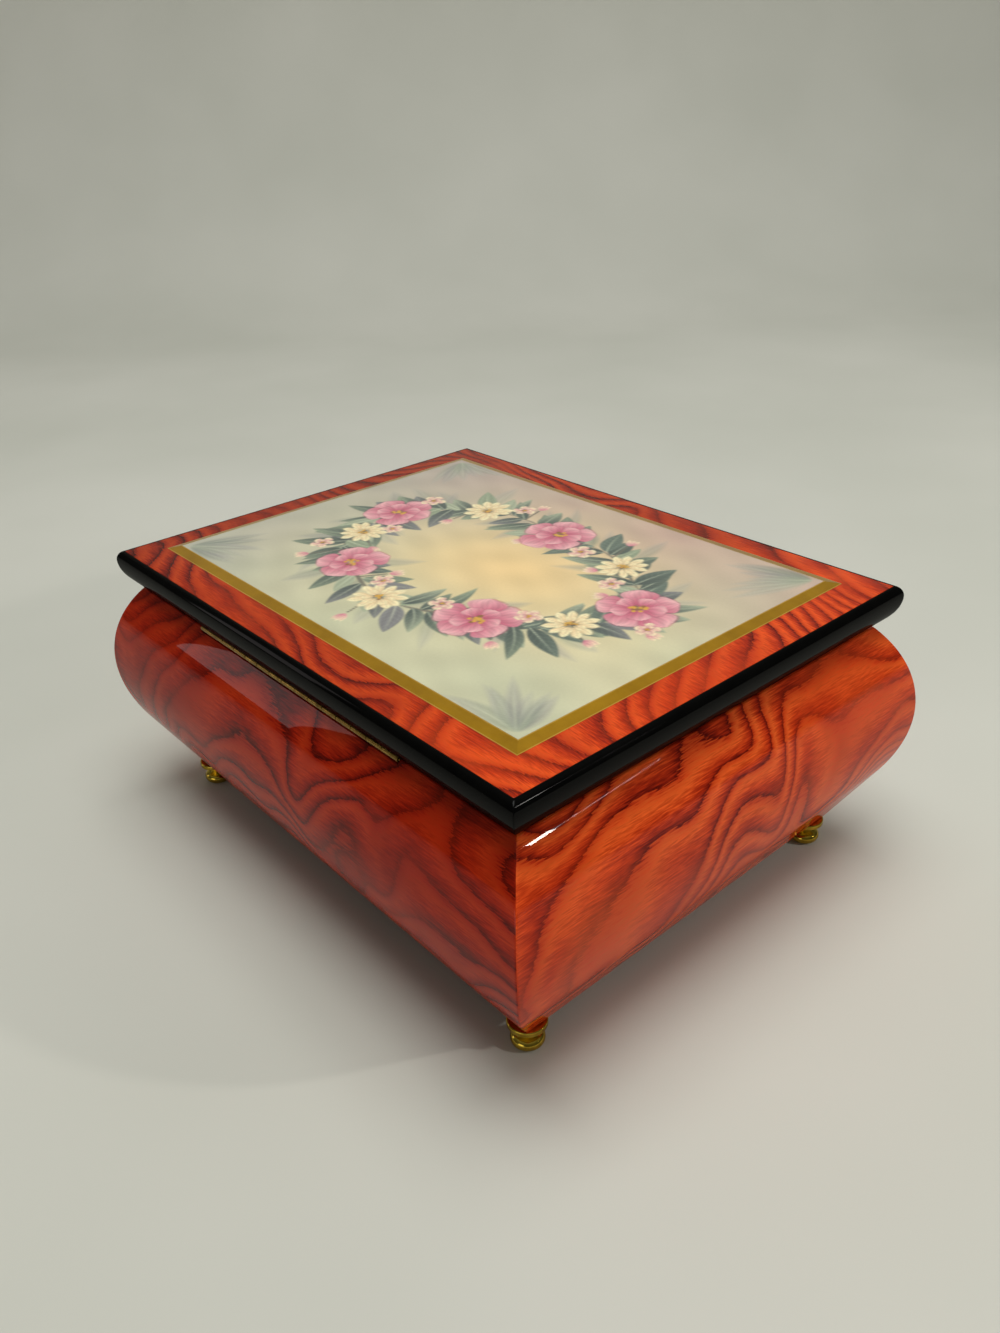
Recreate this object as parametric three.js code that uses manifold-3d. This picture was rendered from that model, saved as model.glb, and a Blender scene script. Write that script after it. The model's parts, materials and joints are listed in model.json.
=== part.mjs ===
// Jewelry music box: bombe veneered case, hinged lid and an 18-note movement under a clear cover.
// Millimetres, +Z up. The origin is on the table under the middle of the box.
// +Y is the hinged back, X runs along the hinge.
import * as THREE from 'three';
import { mergeVertices } from 'three/addons/utils/BufferGeometryUtils.js';
import Module from 'manifold-3d';

// Lid and case, measured from the edge lines of the top veneer
const VENEER_LENGTH = 200;
const VENEER_DEPTH = 153;
const HALF_X = VENEER_LENGTH / 2;
const HALF_Y = VENEER_DEPTH / 2;
const FOOT_HEIGHT = 9;
const CASE_TOP = 80.8;
const LID_BOTTOM = 81;
const LID_TOP = 96.3;

// Case wall section: one arc for the belly, then a straight taper to the bottom
const BELLY_RADIUS = 45;
const BELLY_HEIGHT = 50.5;
const BELLY_OUT = 9;
const TAPER_ANGLE = Math.PI / 6;
const BELLY_STEPS = 22;
const RIM_EASE = 0.8;
const WALL_INSIDE = -16;
const MITRE_GAP = 0.1;

// Lid section: a flat picture, a sloping gold band and veneer that falls to a rounded black edge
const LID_NOSE = 2.5;
const LID_UNDER_ROUND = 10;
const VENEER_THICKNESS = 1.3;
const VENEER_FALL = 0.9;
const BAND_INSET = 10.8;
const BAND_WIDTH = 3.9;
const BAND_RISE = 0.9;
const INLAY_GAP = 0.05;
const BAND_LOW = LID_TOP - BAND_RISE;
const LID_EDGE = BAND_LOW - VENEER_FALL;
const BOARD_TOP = LID_EDGE - VENEER_THICKNESS;

// Feet
const FOOT_INSET = 12.3;
const FOOT_FLANGE = 5.8;
const FOOT_BEAD = 1.95;
const FOOT_BEAD_CENTRE = 3;
const FOOT_NECK = 2.7;
const FOOT_NECK_RISE = 0.6;
const FOOT_COVE_TOP = 7.4;
const FOOT_EDGE = 0.5;
const FOOT_SIDES = 18;

// Hinge
const HINGE_LENGTH = 106;
const HINGE_KNUCKLES = 15;
const HINGE_Y = HALF_Y - 2.7;
const HINGE_Z = 80.8;
const KNUCKLE_RADIUS = 1;
const KNUCKLE_BORE = 0.6;
const KNUCKLE_GAP = 0.2;
const KNUCKLE_FACETS = 5;
const HINGE_PIN_RADIUS = 0.45;
const LEAF_WIDTH = 9.3;
const LEAF_THICKNESS = 0.85;
const LEAF_CLEARANCE = 0.15;
const MORTISE_CLEARANCE = 0.1;

// Inside of the case
const INSIDE_X = HALF_X + WALL_INSIDE;
const INSIDE_Y = HALF_Y + WALL_INSIDE;
const FIT = 0.1;
const BOTTOM_LOW = 9.5;
const BOTTOM_HIGH = 14;
const DIVIDER_THICKNESS = 3;
const DIVIDER_TOP = 75;
const DIVIDER_X = 20;
const CROSS_Y = -9;
const LEDGE_WIDTH = 4;
const LEDGE_HEIGHT = 4;
const COVER_LOW = 45;
const COVER_THICKNESS = 2;
const COVER_CORNER = 1.5;
const LINING_THICKNESS = 1.2;
const LINING_TOP = 77;
const FLOOR_PAD_THICKNESS = 3;
const RING_FLOOR_LOW = 46;
const RING_FLOOR_THICKNESS = 3;
const RING_ROLLS = 5;
const RING_ROLL_HEIGHT = 22;
const RING_ROLL_GAP = 0.4;
const LID_PAD_INSET = 4;
const LID_PAD_THICKNESS = 2.4;
const LID_PAD_CORNER = 4;

// Movement, placed with the top of its bedplate as the zero of its own frame
const MOVEMENT_X = 55;
const MOVEMENT_Y = 25;
const BED_THICKNESS = 2.9;
const MOVEMENT_Z = BOTTOM_HIGH + BED_THICKNESS + FIT;
const BED = { left: -28, right: 25, front: -20.5, back: 23.5, corner: 4 };
const SEAT_GAP = 0.05;
const AXIS_Y = 2;
const AXIS_Z = 11;
const CYLINDER = { radius: 6.5, left: -1.5, right: 18.5, arbor: 1, arborLeft: -8.4, arborRight: 24 };
const PINS = { height: 0.7, size: 0.45, turnSteps: 24, perNote: 4, noteShift: 7, pinShift: 6, mix: 5 };
const NOTES = 18;
const COMB = { left: 0.2, pitch: 1, tooth: 0.78, tip: -5.45, base: -19.5, low: 9.65, thickness: 1.2 };
const COMB_ROOT = { bass: -14.4, treble: -11.8 };
const SEAT = { left: -3.2, right: 20.4, front: -19.9, back: -14.6, shoulder: 0.4 };
const COMB_SCREW = { head: 1.7, headHeight: 1, shank: 0.9, hole: 1.1, y: -17.2, inset: 3.5 };
const POST = { thickness: 2, halfWidth: 4, eye: 3, hole: 1.2, left: -4.4, right: 21.4 };
const BARREL = { x: -16, radius: 10.6, low: 0.15, high: 7, bore: 2.05, lip: 0.8 };
const CROWN = { teeth: 36, inner: 8, outer: 10.2, tip: 8.35, share: 0.34 };
const DRIVE_PINION = { teeth: 12, module: 0.5, left: -8, width: 2.2 };
const CYLINDER_GEAR = { teeth: 40, module: 0.4, left: 19.2, width: 1.4 };
const GOVERNOR_PINION = { teeth: 16, module: 0.4 };
const WORM_WHEEL = { teeth: 16, module: 0.4, left: 15, width: 1 };
const WORM = { x: 15.5, pitchRadius: 1.4, tip: 1.72, root: 1.02, low: 6.9, turns: 6.5, steps: 8,
  flankShare: 0.3, crestShare: 0.1, shoulder: 0.6 };
const TOOTH = { addendum: 0.85, dedendum: 1.25, tipShare: 0.22, rootShare: 0.46 };
const ARBOR = { radius: 1.9, bottom: -9.4, top: 8.6 };
const KEY = { hub: 3.4, bore: 2.1, hubTop: -5, hubBottom: -11, lobe: 4.4, lobeOut: 6, lobeZ: -11, plate: 1.8,
  floor: 1 };
const BRACKET = { left: 12.5, right: 21.4, cheek: 1, front: 10.4, back: 21, base: 1.5, eyeTop: 13.6 };
const BRACKET_ARM = { low: 15.7, thickness: 1, right: 17.6, front: 15.8 };
const GOVERNOR_ARBOR = { radius: 0.6, left: 12.1, right: 22.8, hole: 0.8 };
const WORM_SHAFT = { radius: 0.55, bottom: 1.7, top: 20.8, hole: 0.75 };
const FAN = { hub: 1.1, bore: 0.68, low: 17.4, high: 21, span: 9, blade: 0.4 };
const STOP = { x: 8.5, y: 18, rod: 0.8, low: 4, fingerLow: 21.6, finger: 0.9, reach: 5, coverHole: 1.6 };
const STOP_GUIDE = { radius: 2, bore: 1, top: 18 };
const STOP_LID_GAP = 0.4;
const STOP_TOP = LID_BOTTOM - FIT - LID_PAD_THICKNESS - STOP_LID_GAP;
const KEY_HOLE = 13;
const ROOTED = 0.4;
const CUT_PAST = 1;
const CIRCLE = Math.PI * 2;

const wasm = await Module();
wasm.setup();

const finishes = {
  veneer: finish(0xb83a1c, 0.12, 0),
  blackLacquer: finish(0x060606, 0.1, 0),
  gold: finish(0xa5842a, 0.35, 0.5),
  picture: finish(0xd2cfa8, 0.3, 0),
  brass: finish(0x9a8428, 0.2, 1),
  steel: finish(0x9c9c98, 0.3, 1),
  cast: finish(0xa89a6a, 0.45, 0.9),
  plywood: finish(0xa67c4d, 0.7, 0),
  velvet: finish(0x6e1620, 0.95, 0),
  clear: finish(0xe8eeee, 0.05, 0),
};

function finish(color, roughness, metalness) {
  return new THREE.MeshStandardMaterial({ color, roughness, metalness });
}

// Solids for cutting and joining
function toSolid(geometry) {
  const bare = geometry.clone();
  bare.deleteAttribute('normal');
  bare.deleteAttribute('uv');
  const merged = mergeVertices(bare, 1e-5);
  const vertProperties = new Float32Array(merged.attributes.position.array);
  const triVerts = new Uint32Array(merged.index.array);
  return new wasm.Manifold(new wasm.Mesh({ numProp: 3, vertProperties, triVerts }));
}

function fromSolid(solid) {
  const mesh = solid.getMesh();
  const geometry = new THREE.BufferGeometry();
  geometry.setAttribute('position', new THREE.BufferAttribute(new Float32Array(mesh.vertProperties), 3));
  geometry.setIndex(new THREE.BufferAttribute(new Uint32Array(mesh.triVerts), 1));
  geometry.computeVertexNormals();
  return geometry;
}

function join(first, ...others) {
  return fromSolid(others.reduce((solid, other) => solid.add(toSolid(other)), toSolid(first)));
}

function cut(body, ...tools) {
  return fromSolid(tools.reduce((solid, tool) => solid.subtract(toSolid(tool)), toSolid(body)));
}

// Basic forms
function block(x0, x1, y0, y1, z0, z1) {
  const geometry = new THREE.BoxGeometry(x1 - x0, y1 - y0, z1 - z0);
  return geometry.translate((x0 + x1) / 2, (y0 + y1) / 2, (z0 + z1) / 2);
}

function uprightRod(radius, x, y, z0, z1, sides = 16) {
  const geometry = new THREE.CylinderGeometry(radius, radius, z1 - z0, sides).rotateX(Math.PI / 2);
  return geometry.translate(x, y, (z0 + z1) / 2);
}

function crossRod(radius, x0, x1, y, z, sides = 16) {
  const geometry = new THREE.CylinderGeometry(radius, radius, x1 - x0, sides).rotateZ(-Math.PI / 2);
  return geometry.translate((x0 + x1) / 2, y, z);
}

function turned(points, sides) {
  const profile = points.map(([radius, z]) => new THREE.Vector2(radius, z));
  return new THREE.LatheGeometry(profile, sides).rotateX(Math.PI / 2);
}

function upright(shape, z0, depth, curveSegments = 8) {
  const geometry = new THREE.ExtrudeGeometry(shape, { depth, bevelEnabled: false, curveSegments });
  return geometry.translate(0, 0, z0);
}

// A shape drawn in (y, z) and given its thickness along +X
function across(shape, x0, depth, curveSegments = 8) {
  const geometry = new THREE.ExtrudeGeometry(shape, { depth, bevelEnabled: false, curveSegments });
  return geometry.rotateX(Math.PI / 2).rotateZ(Math.PI / 2).translate(x0, 0, 0);
}

function circleHole(x, y, radius) {
  const hole = new THREE.Path();
  hole.absarc(x, y, radius, 0, CIRCLE, true);
  return hole;
}

function roundedRectangle(x0, x1, y0, y1, corner) {
  const shape = new THREE.Shape();
  shape.moveTo(x0 + corner, y0);
  shape.lineTo(x1 - corner, y0);
  shape.absarc(x1 - corner, y0 + corner, corner, -Math.PI / 2, 0);
  shape.lineTo(x1, y1 - corner);
  shape.absarc(x1 - corner, y1 - corner, corner, 0, Math.PI / 2);
  shape.lineTo(x0 + corner, y1);
  shape.absarc(x0 + corner, y1 - corner, corner, Math.PI / 2, Math.PI);
  shape.lineTo(x0, y0 + corner);
  shape.absarc(x0 + corner, y0 + corner, corner, Math.PI, 1.5 * Math.PI);
  return shape;
}

function arcPoints(centreOut, centreZ, radiusOut, radiusZ, from, to, steps) {
  return Array.from({ length: steps + 1 }, (_, i) => {
    const angle = from + ((to - from) * i) / steps;
    return [centreOut + radiusOut * Math.cos(angle), centreZ + radiusZ * Math.sin(angle)];
  });
}

function indexed(vertices, triangles) {
  const geometry = new THREE.BufferGeometry();
  geometry.setAttribute('position', new THREE.Float32BufferAttribute(vertices.flat(), 3));
  geometry.setIndex(triangles.flat());
  geometry.computeVertexNormals();
  return geometry;
}

// Section points are [out, z], where out is measured outward from the veneer edge line.
function rectangleLevel([out, z]) {
  const x = HALF_X + out;
  const y = HALF_Y + out;
  return [[-x, -y, z], [x, -y, z], [x, y, z], [-x, y, z]];
}

function ringFaces(levels, closed) {
  const triangles = [];
  const spans = closed ? levels : levels - 1;
  for (let level = 0; level < spans; level += 1) {
    const next = (level + 1) % levels;
    for (let corner = 0; corner < 4; corner += 1) {
      const turn = (corner + 1) % 4;
      const [a, b, c, d] = [level * 4 + corner, level * 4 + turn, next * 4 + turn, next * 4 + corner];
      triangles.push([a, b, c], [a, c, d]);
    }
  }
  return triangles;
}

// A mitred rectangular plate: the section runs from the underside edge up to the top edge.
function mitredPlate(section) {
  const vertices = section.flatMap(rectangleLevel);
  const top = (section.length - 1) * 4;
  const caps = [[0, 2, 1], [0, 3, 2], [top, top + 1, top + 2], [top, top + 2, top + 3]];
  return indexed(vertices, [...ringFaces(section.length, false), ...caps]);
}

// A mitred rectangular frame: the section is closed, with its outer side going up.
function mitredFrame(section) {
  return indexed(section.flatMap(rectangleLevel), ringFaces(section.length, true));
}

// Case
function wallSection() {
  const centreOut = BELLY_OUT - BELLY_RADIUS;
  const topAngle = Math.asin((CASE_TOP - RIM_EASE - BELLY_HEIGHT) / BELLY_RADIUS);
  const belly = arcPoints(
    centreOut, BELLY_HEIGHT, BELLY_RADIUS, BELLY_RADIUS, -TAPER_ANGLE, topAngle, BELLY_STEPS);
  const [taperOut, taperZ] = belly[0];
  const footOut = taperOut - Math.tan(TAPER_ANGLE) * (taperZ - FOOT_HEIGHT);
  const rimOut = belly[belly.length - 1][0] - 2 * RIM_EASE;
  return [[WALL_INSIDE, FOOT_HEIGHT], [footOut, FOOT_HEIGHT], ...belly, [rimOut, CASE_TOP],
    [WALL_INSIDE, CASE_TOP]];
}

// A wall facing -Y, with its ends cut to the mitre planes
function mitredWall(halfLength, halfReach) {
  const section = wallSection();
  const count = section.length;
  const end = (side) => section.map(([out, z]) =>
    [side * (halfLength + out - MITRE_GAP), -(halfReach + out), z]);
  const triangles = [];
  for (let i = 0; i < count; i += 1) {
    const next = (i + 1) % count;
    triangles.push([i, count + i, count + next], [i, count + next, next]);
  }
  const outline = section.map(([out, z]) => new THREE.Vector2(out, z));
  for (const [a, b, c] of THREE.ShapeUtils.triangulateShape(outline, [])) {
    triangles.push([a, b, c], [count + a, count + c, count + b]);
  }
  return indexed([...end(-1), ...end(1)], triangles);
}

// The recess for a hinge leaf, open to the back
function hingeMortise(z0, z1) {
  const half = HINGE_LENGTH / 2 + MORTISE_CLEARANCE;
  return block(-half, half, HINGE_Y - LEAF_WIDTH - MORTISE_CLEARANCE, HALF_Y + BELLY_OUT, z0, z1);
}

function caseWalls(group) {
  const leafLow = HINGE_Z - LEAF_CLEARANCE - LEAF_THICKNESS;
  const mortise = hingeMortise(leafLow - MORTISE_CLEARANCE, CASE_TOP + CUT_PAST);
  const back = mitredWall(HALF_X, HALF_Y).rotateZ(Math.PI);
  part(group, 'wall_front', mitredWall(HALF_X, HALF_Y), finishes.veneer);
  part(group, 'wall_back', cut(back, mortise), finishes.veneer);
  part(group, 'wall_left', mitredWall(HALF_Y, HALF_X).rotateZ(-Math.PI / 2), finishes.veneer);
  part(group, 'wall_right', mitredWall(HALF_Y, HALF_X).rotateZ(Math.PI / 2), finishes.veneer);
}

function bottomPanel(group) {
  const panel = block(
    -INSIDE_X + FIT, INSIDE_X - FIT, -INSIDE_Y + FIT, INSIDE_Y - FIT, BOTTOM_LOW, BOTTOM_HIGH);
  const keyX = MOVEMENT_X + BARREL.x;
  const keyY = MOVEMENT_Y + AXIS_Y;
  const hole = uprightRod(KEY_HOLE, keyX, keyY, BOTTOM_LOW - CUT_PAST, BOTTOM_HIGH + CUT_PAST, 32);
  part(group, 'bottom_panel', cut(panel, hole), finishes.plywood);
}

function feet(group) {
  const top = FOOT_HEIGHT - SEAT_GAP;
  const neckLow = 2 * FOOT_BEAD + FOOT_NECK_RISE;
  const bead = arcPoints(
    FOOT_BEAD_CENTRE, FOOT_BEAD, FOOT_BEAD, FOOT_BEAD, -Math.PI / 2, Math.PI / 2, 6);
  const cove = arcPoints(
    FOOT_FLANGE, neckLow, FOOT_NECK - FOOT_FLANGE, FOOT_COVE_TOP - neckLow, 0, Math.PI / 2, 4);
  const flange = [[FOOT_FLANGE, top - FOOT_EDGE], [FOOT_FLANGE - FOOT_EDGE, top]];
  const profile = [[0, 0], ...bead, ...cove, ...flange, [0, top]];
  for (const [side, x] of [['left', -1], ['right', 1]]) {
    for (const [end, y] of [['front', -1], ['back', 1]]) {
      const foot = turned(profile, FOOT_SIDES);
      foot.translate(x * (HALF_X - FOOT_INSET), y * (HALF_Y - FOOT_INSET), 0);
      part(group, `foot_${end}_${side}`, foot, finishes.brass);
    }
  }
}

// Lid
function lidBoard(group) {
  const noseHeight = LID_BOTTOM + LID_UNDER_ROUND;
  const under = arcPoints(
    LID_NOSE - LID_UNDER_ROUND, noseHeight, LID_UNDER_ROUND, LID_UNDER_ROUND, -Math.PI / 2, 0, 10);
  const over = arcPoints(0, noseHeight, LID_NOSE, LID_EDGE - noseHeight, 0, Math.PI / 2, 6).slice(1);
  const section = [...under, ...over, [0, BOARD_TOP]];
  const leafHigh = HINGE_Z + LEAF_CLEARANCE + LEAF_THICKNESS;
  const mortise = hingeMortise(LID_BOTTOM - CUT_PAST, leafHigh + MORTISE_CLEARANCE);
  part(group, 'lid_board', cut(mitredPlate(section), mortise), finishes.blackLacquer);
}

function lidTop(group) {
  const low = BOARD_TOP + INLAY_GAP;
  const bandOut = -BAND_INSET;
  const bandIn = bandOut - BAND_WIDTH;
  const veneer = [[bandOut, low], [-INLAY_GAP, low], [-INLAY_GAP, LID_EDGE], [bandOut, BAND_LOW]];
  const outerEdge = bandOut - INLAY_GAP;
  const innerEdge = bandIn + INLAY_GAP;
  const band = [[innerEdge, low], [outerEdge, low], [outerEdge, BAND_LOW], [innerEdge, LID_TOP]];
  const picture = [[bandIn, low], [bandIn, LID_TOP]];
  part(group, 'lid_veneer', mitredFrame(veneer), finishes.veneer);
  part(group, 'lid_gold_band', mitredFrame(band), finishes.gold);
  part(group, 'lid_picture', mitredPlate(picture), finishes.picture);
}

function lidPad(group) {
  const x = INSIDE_X - LID_PAD_INSET;
  const y = INSIDE_Y - LID_PAD_INSET;
  const outline = roundedRectangle(-x, x, -y, y, LID_PAD_CORNER);
  const low = LID_BOTTOM - FIT - LID_PAD_THICKNESS;
  part(group, 'lid_lining', upright(outline, low, LID_PAD_THICKNESS, 5), finishes.velvet);
}

// Hinge: even knuckles belong to the case leaf, odd ones to the lid leaf
function hingeLeaf(parity, plateLow) {
  const pitch = HINGE_LENGTH / HINGE_KNUCKLES;
  const plateEdge = HINGE_Y - KNUCKLE_RADIUS - KNUCKLE_GAP;
  const plateHigh = plateLow + LEAF_THICKNESS;
  const ring = new THREE.Shape();
  ring.absarc(HINGE_Y, HINGE_Z, KNUCKLE_RADIUS, 0, CIRCLE);
  ring.holes.push(circleHole(HINGE_Y, HINGE_Z, KNUCKLE_BORE));
  const pieces = [block(
    -HINGE_LENGTH / 2, HINGE_LENGTH / 2, HINGE_Y - LEAF_WIDTH, plateEdge, plateLow, plateHigh)];
  for (let i = parity; i < HINGE_KNUCKLES; i += 2) {
    const left = -HINGE_LENGTH / 2 + i * pitch + KNUCKLE_GAP / 2;
    const length = pitch - KNUCKLE_GAP;
    const tabEdge = HINGE_Y - (KNUCKLE_BORE + KNUCKLE_RADIUS) / 2;
    pieces.push(block(left, left + length, plateEdge - KNUCKLE_GAP, tabEdge, plateLow, plateHigh));
    pieces.push(across(ring, left, length, KNUCKLE_FACETS));
  }
  return join(...pieces);
}

function hinge(caseGroup, lidGroup) {
  const caseLeafLow = HINGE_Z - LEAF_CLEARANCE - LEAF_THICKNESS;
  const lidLeafLow = HINGE_Z + LEAF_CLEARANCE;
  const half = HINGE_LENGTH / 2 + KNUCKLE_GAP;
  part(caseGroup, 'hinge_leaf_case', hingeLeaf(0, caseLeafLow), finishes.brass);
  part(caseGroup, 'hinge_pin', crossRod(HINGE_PIN_RADIUS, -half, half, HINGE_Y, HINGE_Z, 12), finishes.brass);
  part(lidGroup, 'hinge_leaf_lid', hingeLeaf(1, lidLeafLow), finishes.brass);
}

// Fittings inside the case
function dividers(group) {
  const floor = BOTTOM_HIGH + FIT;
  const right = DIVIDER_X + DIVIDER_THICKNESS;
  const main = block(DIVIDER_X, right, -INSIDE_Y + FIT, INSIDE_Y - FIT, floor, DIVIDER_TOP);
  const cross = block(
    right + FIT, INSIDE_X - FIT, CROSS_Y, CROSS_Y + DIVIDER_THICKNESS, floor, DIVIDER_TOP);
  part(group, 'divider_main', main, finishes.plywood);
  part(group, 'divider_cross', cross, finishes.plywood);
}

function ledges(group) {
  const left = DIVIDER_X + DIVIDER_THICKNESS + FIT;
  const right = INSIDE_X - FIT;
  const crossBack = CROSS_Y + DIVIDER_THICKNESS + FIT;
  const rows = [
    ['cover_ledge_back', INSIDE_Y - FIT - LEDGE_WIDTH, COVER_LOW],
    ['cover_ledge_front', crossBack, COVER_LOW],
    ['ring_ledge_back', CROSS_Y - FIT - LEDGE_WIDTH, RING_FLOOR_LOW],
    ['ring_ledge_front', -INSIDE_Y + FIT, RING_FLOOR_LOW],
  ];
  for (const [name, y, top] of rows) {
    const high = top - SEAT_GAP;
    const ledge = block(left, right, y, y + LEDGE_WIDTH, high - LEDGE_HEIGHT, high);
    part(group, name, ledge, finishes.plywood);
  }
}

function movementCover(group) {
  const left = DIVIDER_X + DIVIDER_THICKNESS + 2 * FIT;
  const right = INSIDE_X - 2 * FIT;
  const front = CROSS_Y + DIVIDER_THICKNESS + 2 * FIT;
  const back = INSIDE_Y - 2 * FIT;
  const outline = roundedRectangle(left, right, front, back, COVER_CORNER);
  outline.holes.push(circleHole(MOVEMENT_X + STOP.x, MOVEMENT_Y + STOP.y, STOP.coverHole));
  part(group, 'movement_cover', upright(outline, COVER_LOW, COVER_THICKNESS), finishes.clear);
}

function linings(group) {
  const low = BOTTOM_HIGH + FIT;
  const padTop = low + FLOOR_PAD_THICKNESS;
  const wallLow = padTop + FIT;
  const left = -INSIDE_X + FIT;
  const right = DIVIDER_X - FIT;
  const y = INSIDE_Y - FIT;
  const inner = y - LINING_THICKNESS;
  const sideEnd = inner - FIT;
  const rows = [
    ['floor_pad', [left, right, -y, y, low, padTop]],
    ['lining_front', [left, right, -y, -inner, wallLow, LINING_TOP]],
    ['lining_back', [left, right, inner, y, wallLow, LINING_TOP]],
    ['lining_left', [left, left + LINING_THICKNESS, -sideEnd, sideEnd, wallLow, LINING_TOP]],
    ['lining_divider', [right - LINING_THICKNESS, right, -sideEnd, sideEnd, wallLow, DIVIDER_TOP]],
  ];
  for (const [name, size] of rows) part(group, name, block(...size), finishes.velvet);
}

// A ring roll: a padded bar with a crowned top, drawn in toward its two ends
function ringRoll(halfLength, halfWidth, height) {
  const around = 16;
  const along = 8;
  const endDraw = 0.45;
  const [sideFullness, crownFullness] = [0.6, 0.75];
  const vertices = [];
  const triangles = [];
  for (let i = 0; i <= along; i += 1) {
    const t = (2 * i) / along - 1;
    const draw = Math.sqrt(1 - endDraw * t ** 6);
    for (let j = 0; j < around; j += 1) {
      const angle = (CIRCLE * j) / around;
      const side = Math.sign(Math.cos(angle)) * Math.abs(Math.cos(angle)) ** sideFullness;
      const rise = Math.sign(Math.sin(angle)) * Math.abs(Math.sin(angle)) ** crownFullness;
      vertices.push([halfLength * t, halfWidth * draw * side, (height / 2) * (1 + draw * rise)]);
    }
  }
  for (let i = 0; i < along; i += 1) {
    for (let j = 0; j < around; j += 1) {
      const a = i * around + j;
      const b = i * around + ((j + 1) % around);
      triangles.push([a, b, b + around], [a, b + around, a + around]);
    }
  }
  for (let j = 1; j < around - 1; j += 1) {
    const last = along * around;
    triangles.push([0, j + 1, j], [last, last + j, last + j + 1]);
  }
  return indexed(vertices, triangles);
}

function ringTray(group) {
  const left = DIVIDER_X + DIVIDER_THICKNESS + FIT;
  const right = INSIDE_X - FIT;
  const front = -INSIDE_Y + FIT;
  const back = CROSS_Y - FIT;
  const floorTop = RING_FLOOR_LOW + RING_FLOOR_THICKNESS;
  const pitch = (back - front) / RING_ROLLS;
  const halfLength = (right - left) / 2 - RING_ROLL_GAP;
  part(group, 'ring_floor', block(left, right, front, back, RING_FLOOR_LOW, floorTop), finishes.plywood);
  for (let i = 0; i < RING_ROLLS; i += 1) {
    const roll = ringRoll(halfLength, (pitch - RING_ROLL_GAP) / 2, RING_ROLL_HEIGHT);
    roll.translate((left + right) / 2, front + pitch * (i + 0.5), floorTop + SEAT_GAP);
    part(group, `ring_roll_${i + 1}`, roll, finishes.velvet);
  }
}

// Movement
function gearShape({ teeth, module }, bore, centreX, centreY, phase) {
  const pitchRadius = (module * teeth) / 2;
  const tip = pitchRadius + TOOTH.addendum * module;
  const root = pitchRadius - TOOTH.dedendum * module;
  const step = CIRCLE / teeth;
  const outline = [];
  for (let i = 0; i < teeth; i += 1) {
    const middle = phase + i * step;
    const corners = [
      [root, -TOOTH.rootShare / 2], [tip, -TOOTH.tipShare / 2],
      [tip, TOOTH.tipShare / 2], [root, TOOTH.rootShare / 2],
    ];
    for (const [radius, share] of corners) {
      const angle = middle + share * step;
      outline.push(new THREE.Vector2(
        centreX + radius * Math.cos(angle), centreY + radius * Math.sin(angle)));
    }
  }
  const shape = new THREE.Shape(outline);
  if (bore > 0) shape.holes.push(circleHole(centreX, centreY, bore));
  return shape;
}

function bedplate(group) {
  const outline = roundedRectangle(BED.left, BED.right, BED.front, BED.back, BED.corner);
  outline.holes.push(circleHole(BARREL.x, AXIS_Y, BARREL.bore));
  const plate = upright(outline, -BED_THICKNESS, BED_THICKNESS, 5);
  const seat = block(SEAT.left, SEAT.right, SEAT.front, SEAT.back, -ROOTED, COMB.low - SEAT_GAP);
  part(group, 'bedplate', join(plate, seat), finishes.cast);
}

function springBarrel(group) {
  const { radius, low, high, bore, lip } = BARREL;
  const can = turned(
    [[bore, low], [radius - lip, low], [radius, low + lip], [radius, high], [bore, high], [bore, low]], 36);
  const teeth = [];
  const step = CIRCLE / CROWN.teeth;
  for (let i = 0; i < CROWN.teeth; i += 1) {
    const wedge = new THREE.Shape();
    const half = (CROWN.share * step) / 2;
    wedge.moveTo(CROWN.inner * Math.cos(half), -CROWN.inner * Math.sin(half));
    wedge.lineTo(CROWN.outer * Math.cos(half), -CROWN.outer * Math.sin(half));
    wedge.lineTo(CROWN.outer * Math.cos(half), CROWN.outer * Math.sin(half));
    wedge.lineTo(CROWN.inner * Math.cos(half), CROWN.inner * Math.sin(half));
    teeth.push(upright(wedge, high - ROOTED, CROWN.tip - high + ROOTED).rotateZ(i * step));
  }
  part(group, 'spring_barrel', join(can, ...teeth).translate(BARREL.x, AXIS_Y, 0), finishes.brass);
}

function windingParts(group) {
  const arbor = uprightRod(ARBOR.radius, BARREL.x, AXIS_Y, ARBOR.bottom, ARBOR.top, 20);
  const hub = uprightRod(KEY.hub, 0, 0, KEY.hubBottom, KEY.hubTop, 20);
  const wings = [-1, 1].map((side) => {
    const wing = new THREE.CylinderGeometry(KEY.lobe, KEY.lobe, KEY.plate, 24);
    return wing.translate(side * KEY.lobeOut, 0, KEY.lobeZ);
  });
  const waist = block(-KEY.lobeOut, KEY.lobeOut, -KEY.plate / 2, KEY.plate / 2,
    KEY.lobeZ - KEY.hub, KEY.hubBottom + KEY.floor / 2);
  const socket = uprightRod(KEY.bore, 0, 0, KEY.hubBottom + KEY.floor, KEY.hubTop + CUT_PAST, 20);
  const key = cut(join(hub, waist, ...wings), socket);
  part(group, 'winding_arbor', arbor, finishes.steel);
  part(group, 'winding_key', key.translate(BARREL.x, AXIS_Y, 0), finishes.brass);
}

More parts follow.
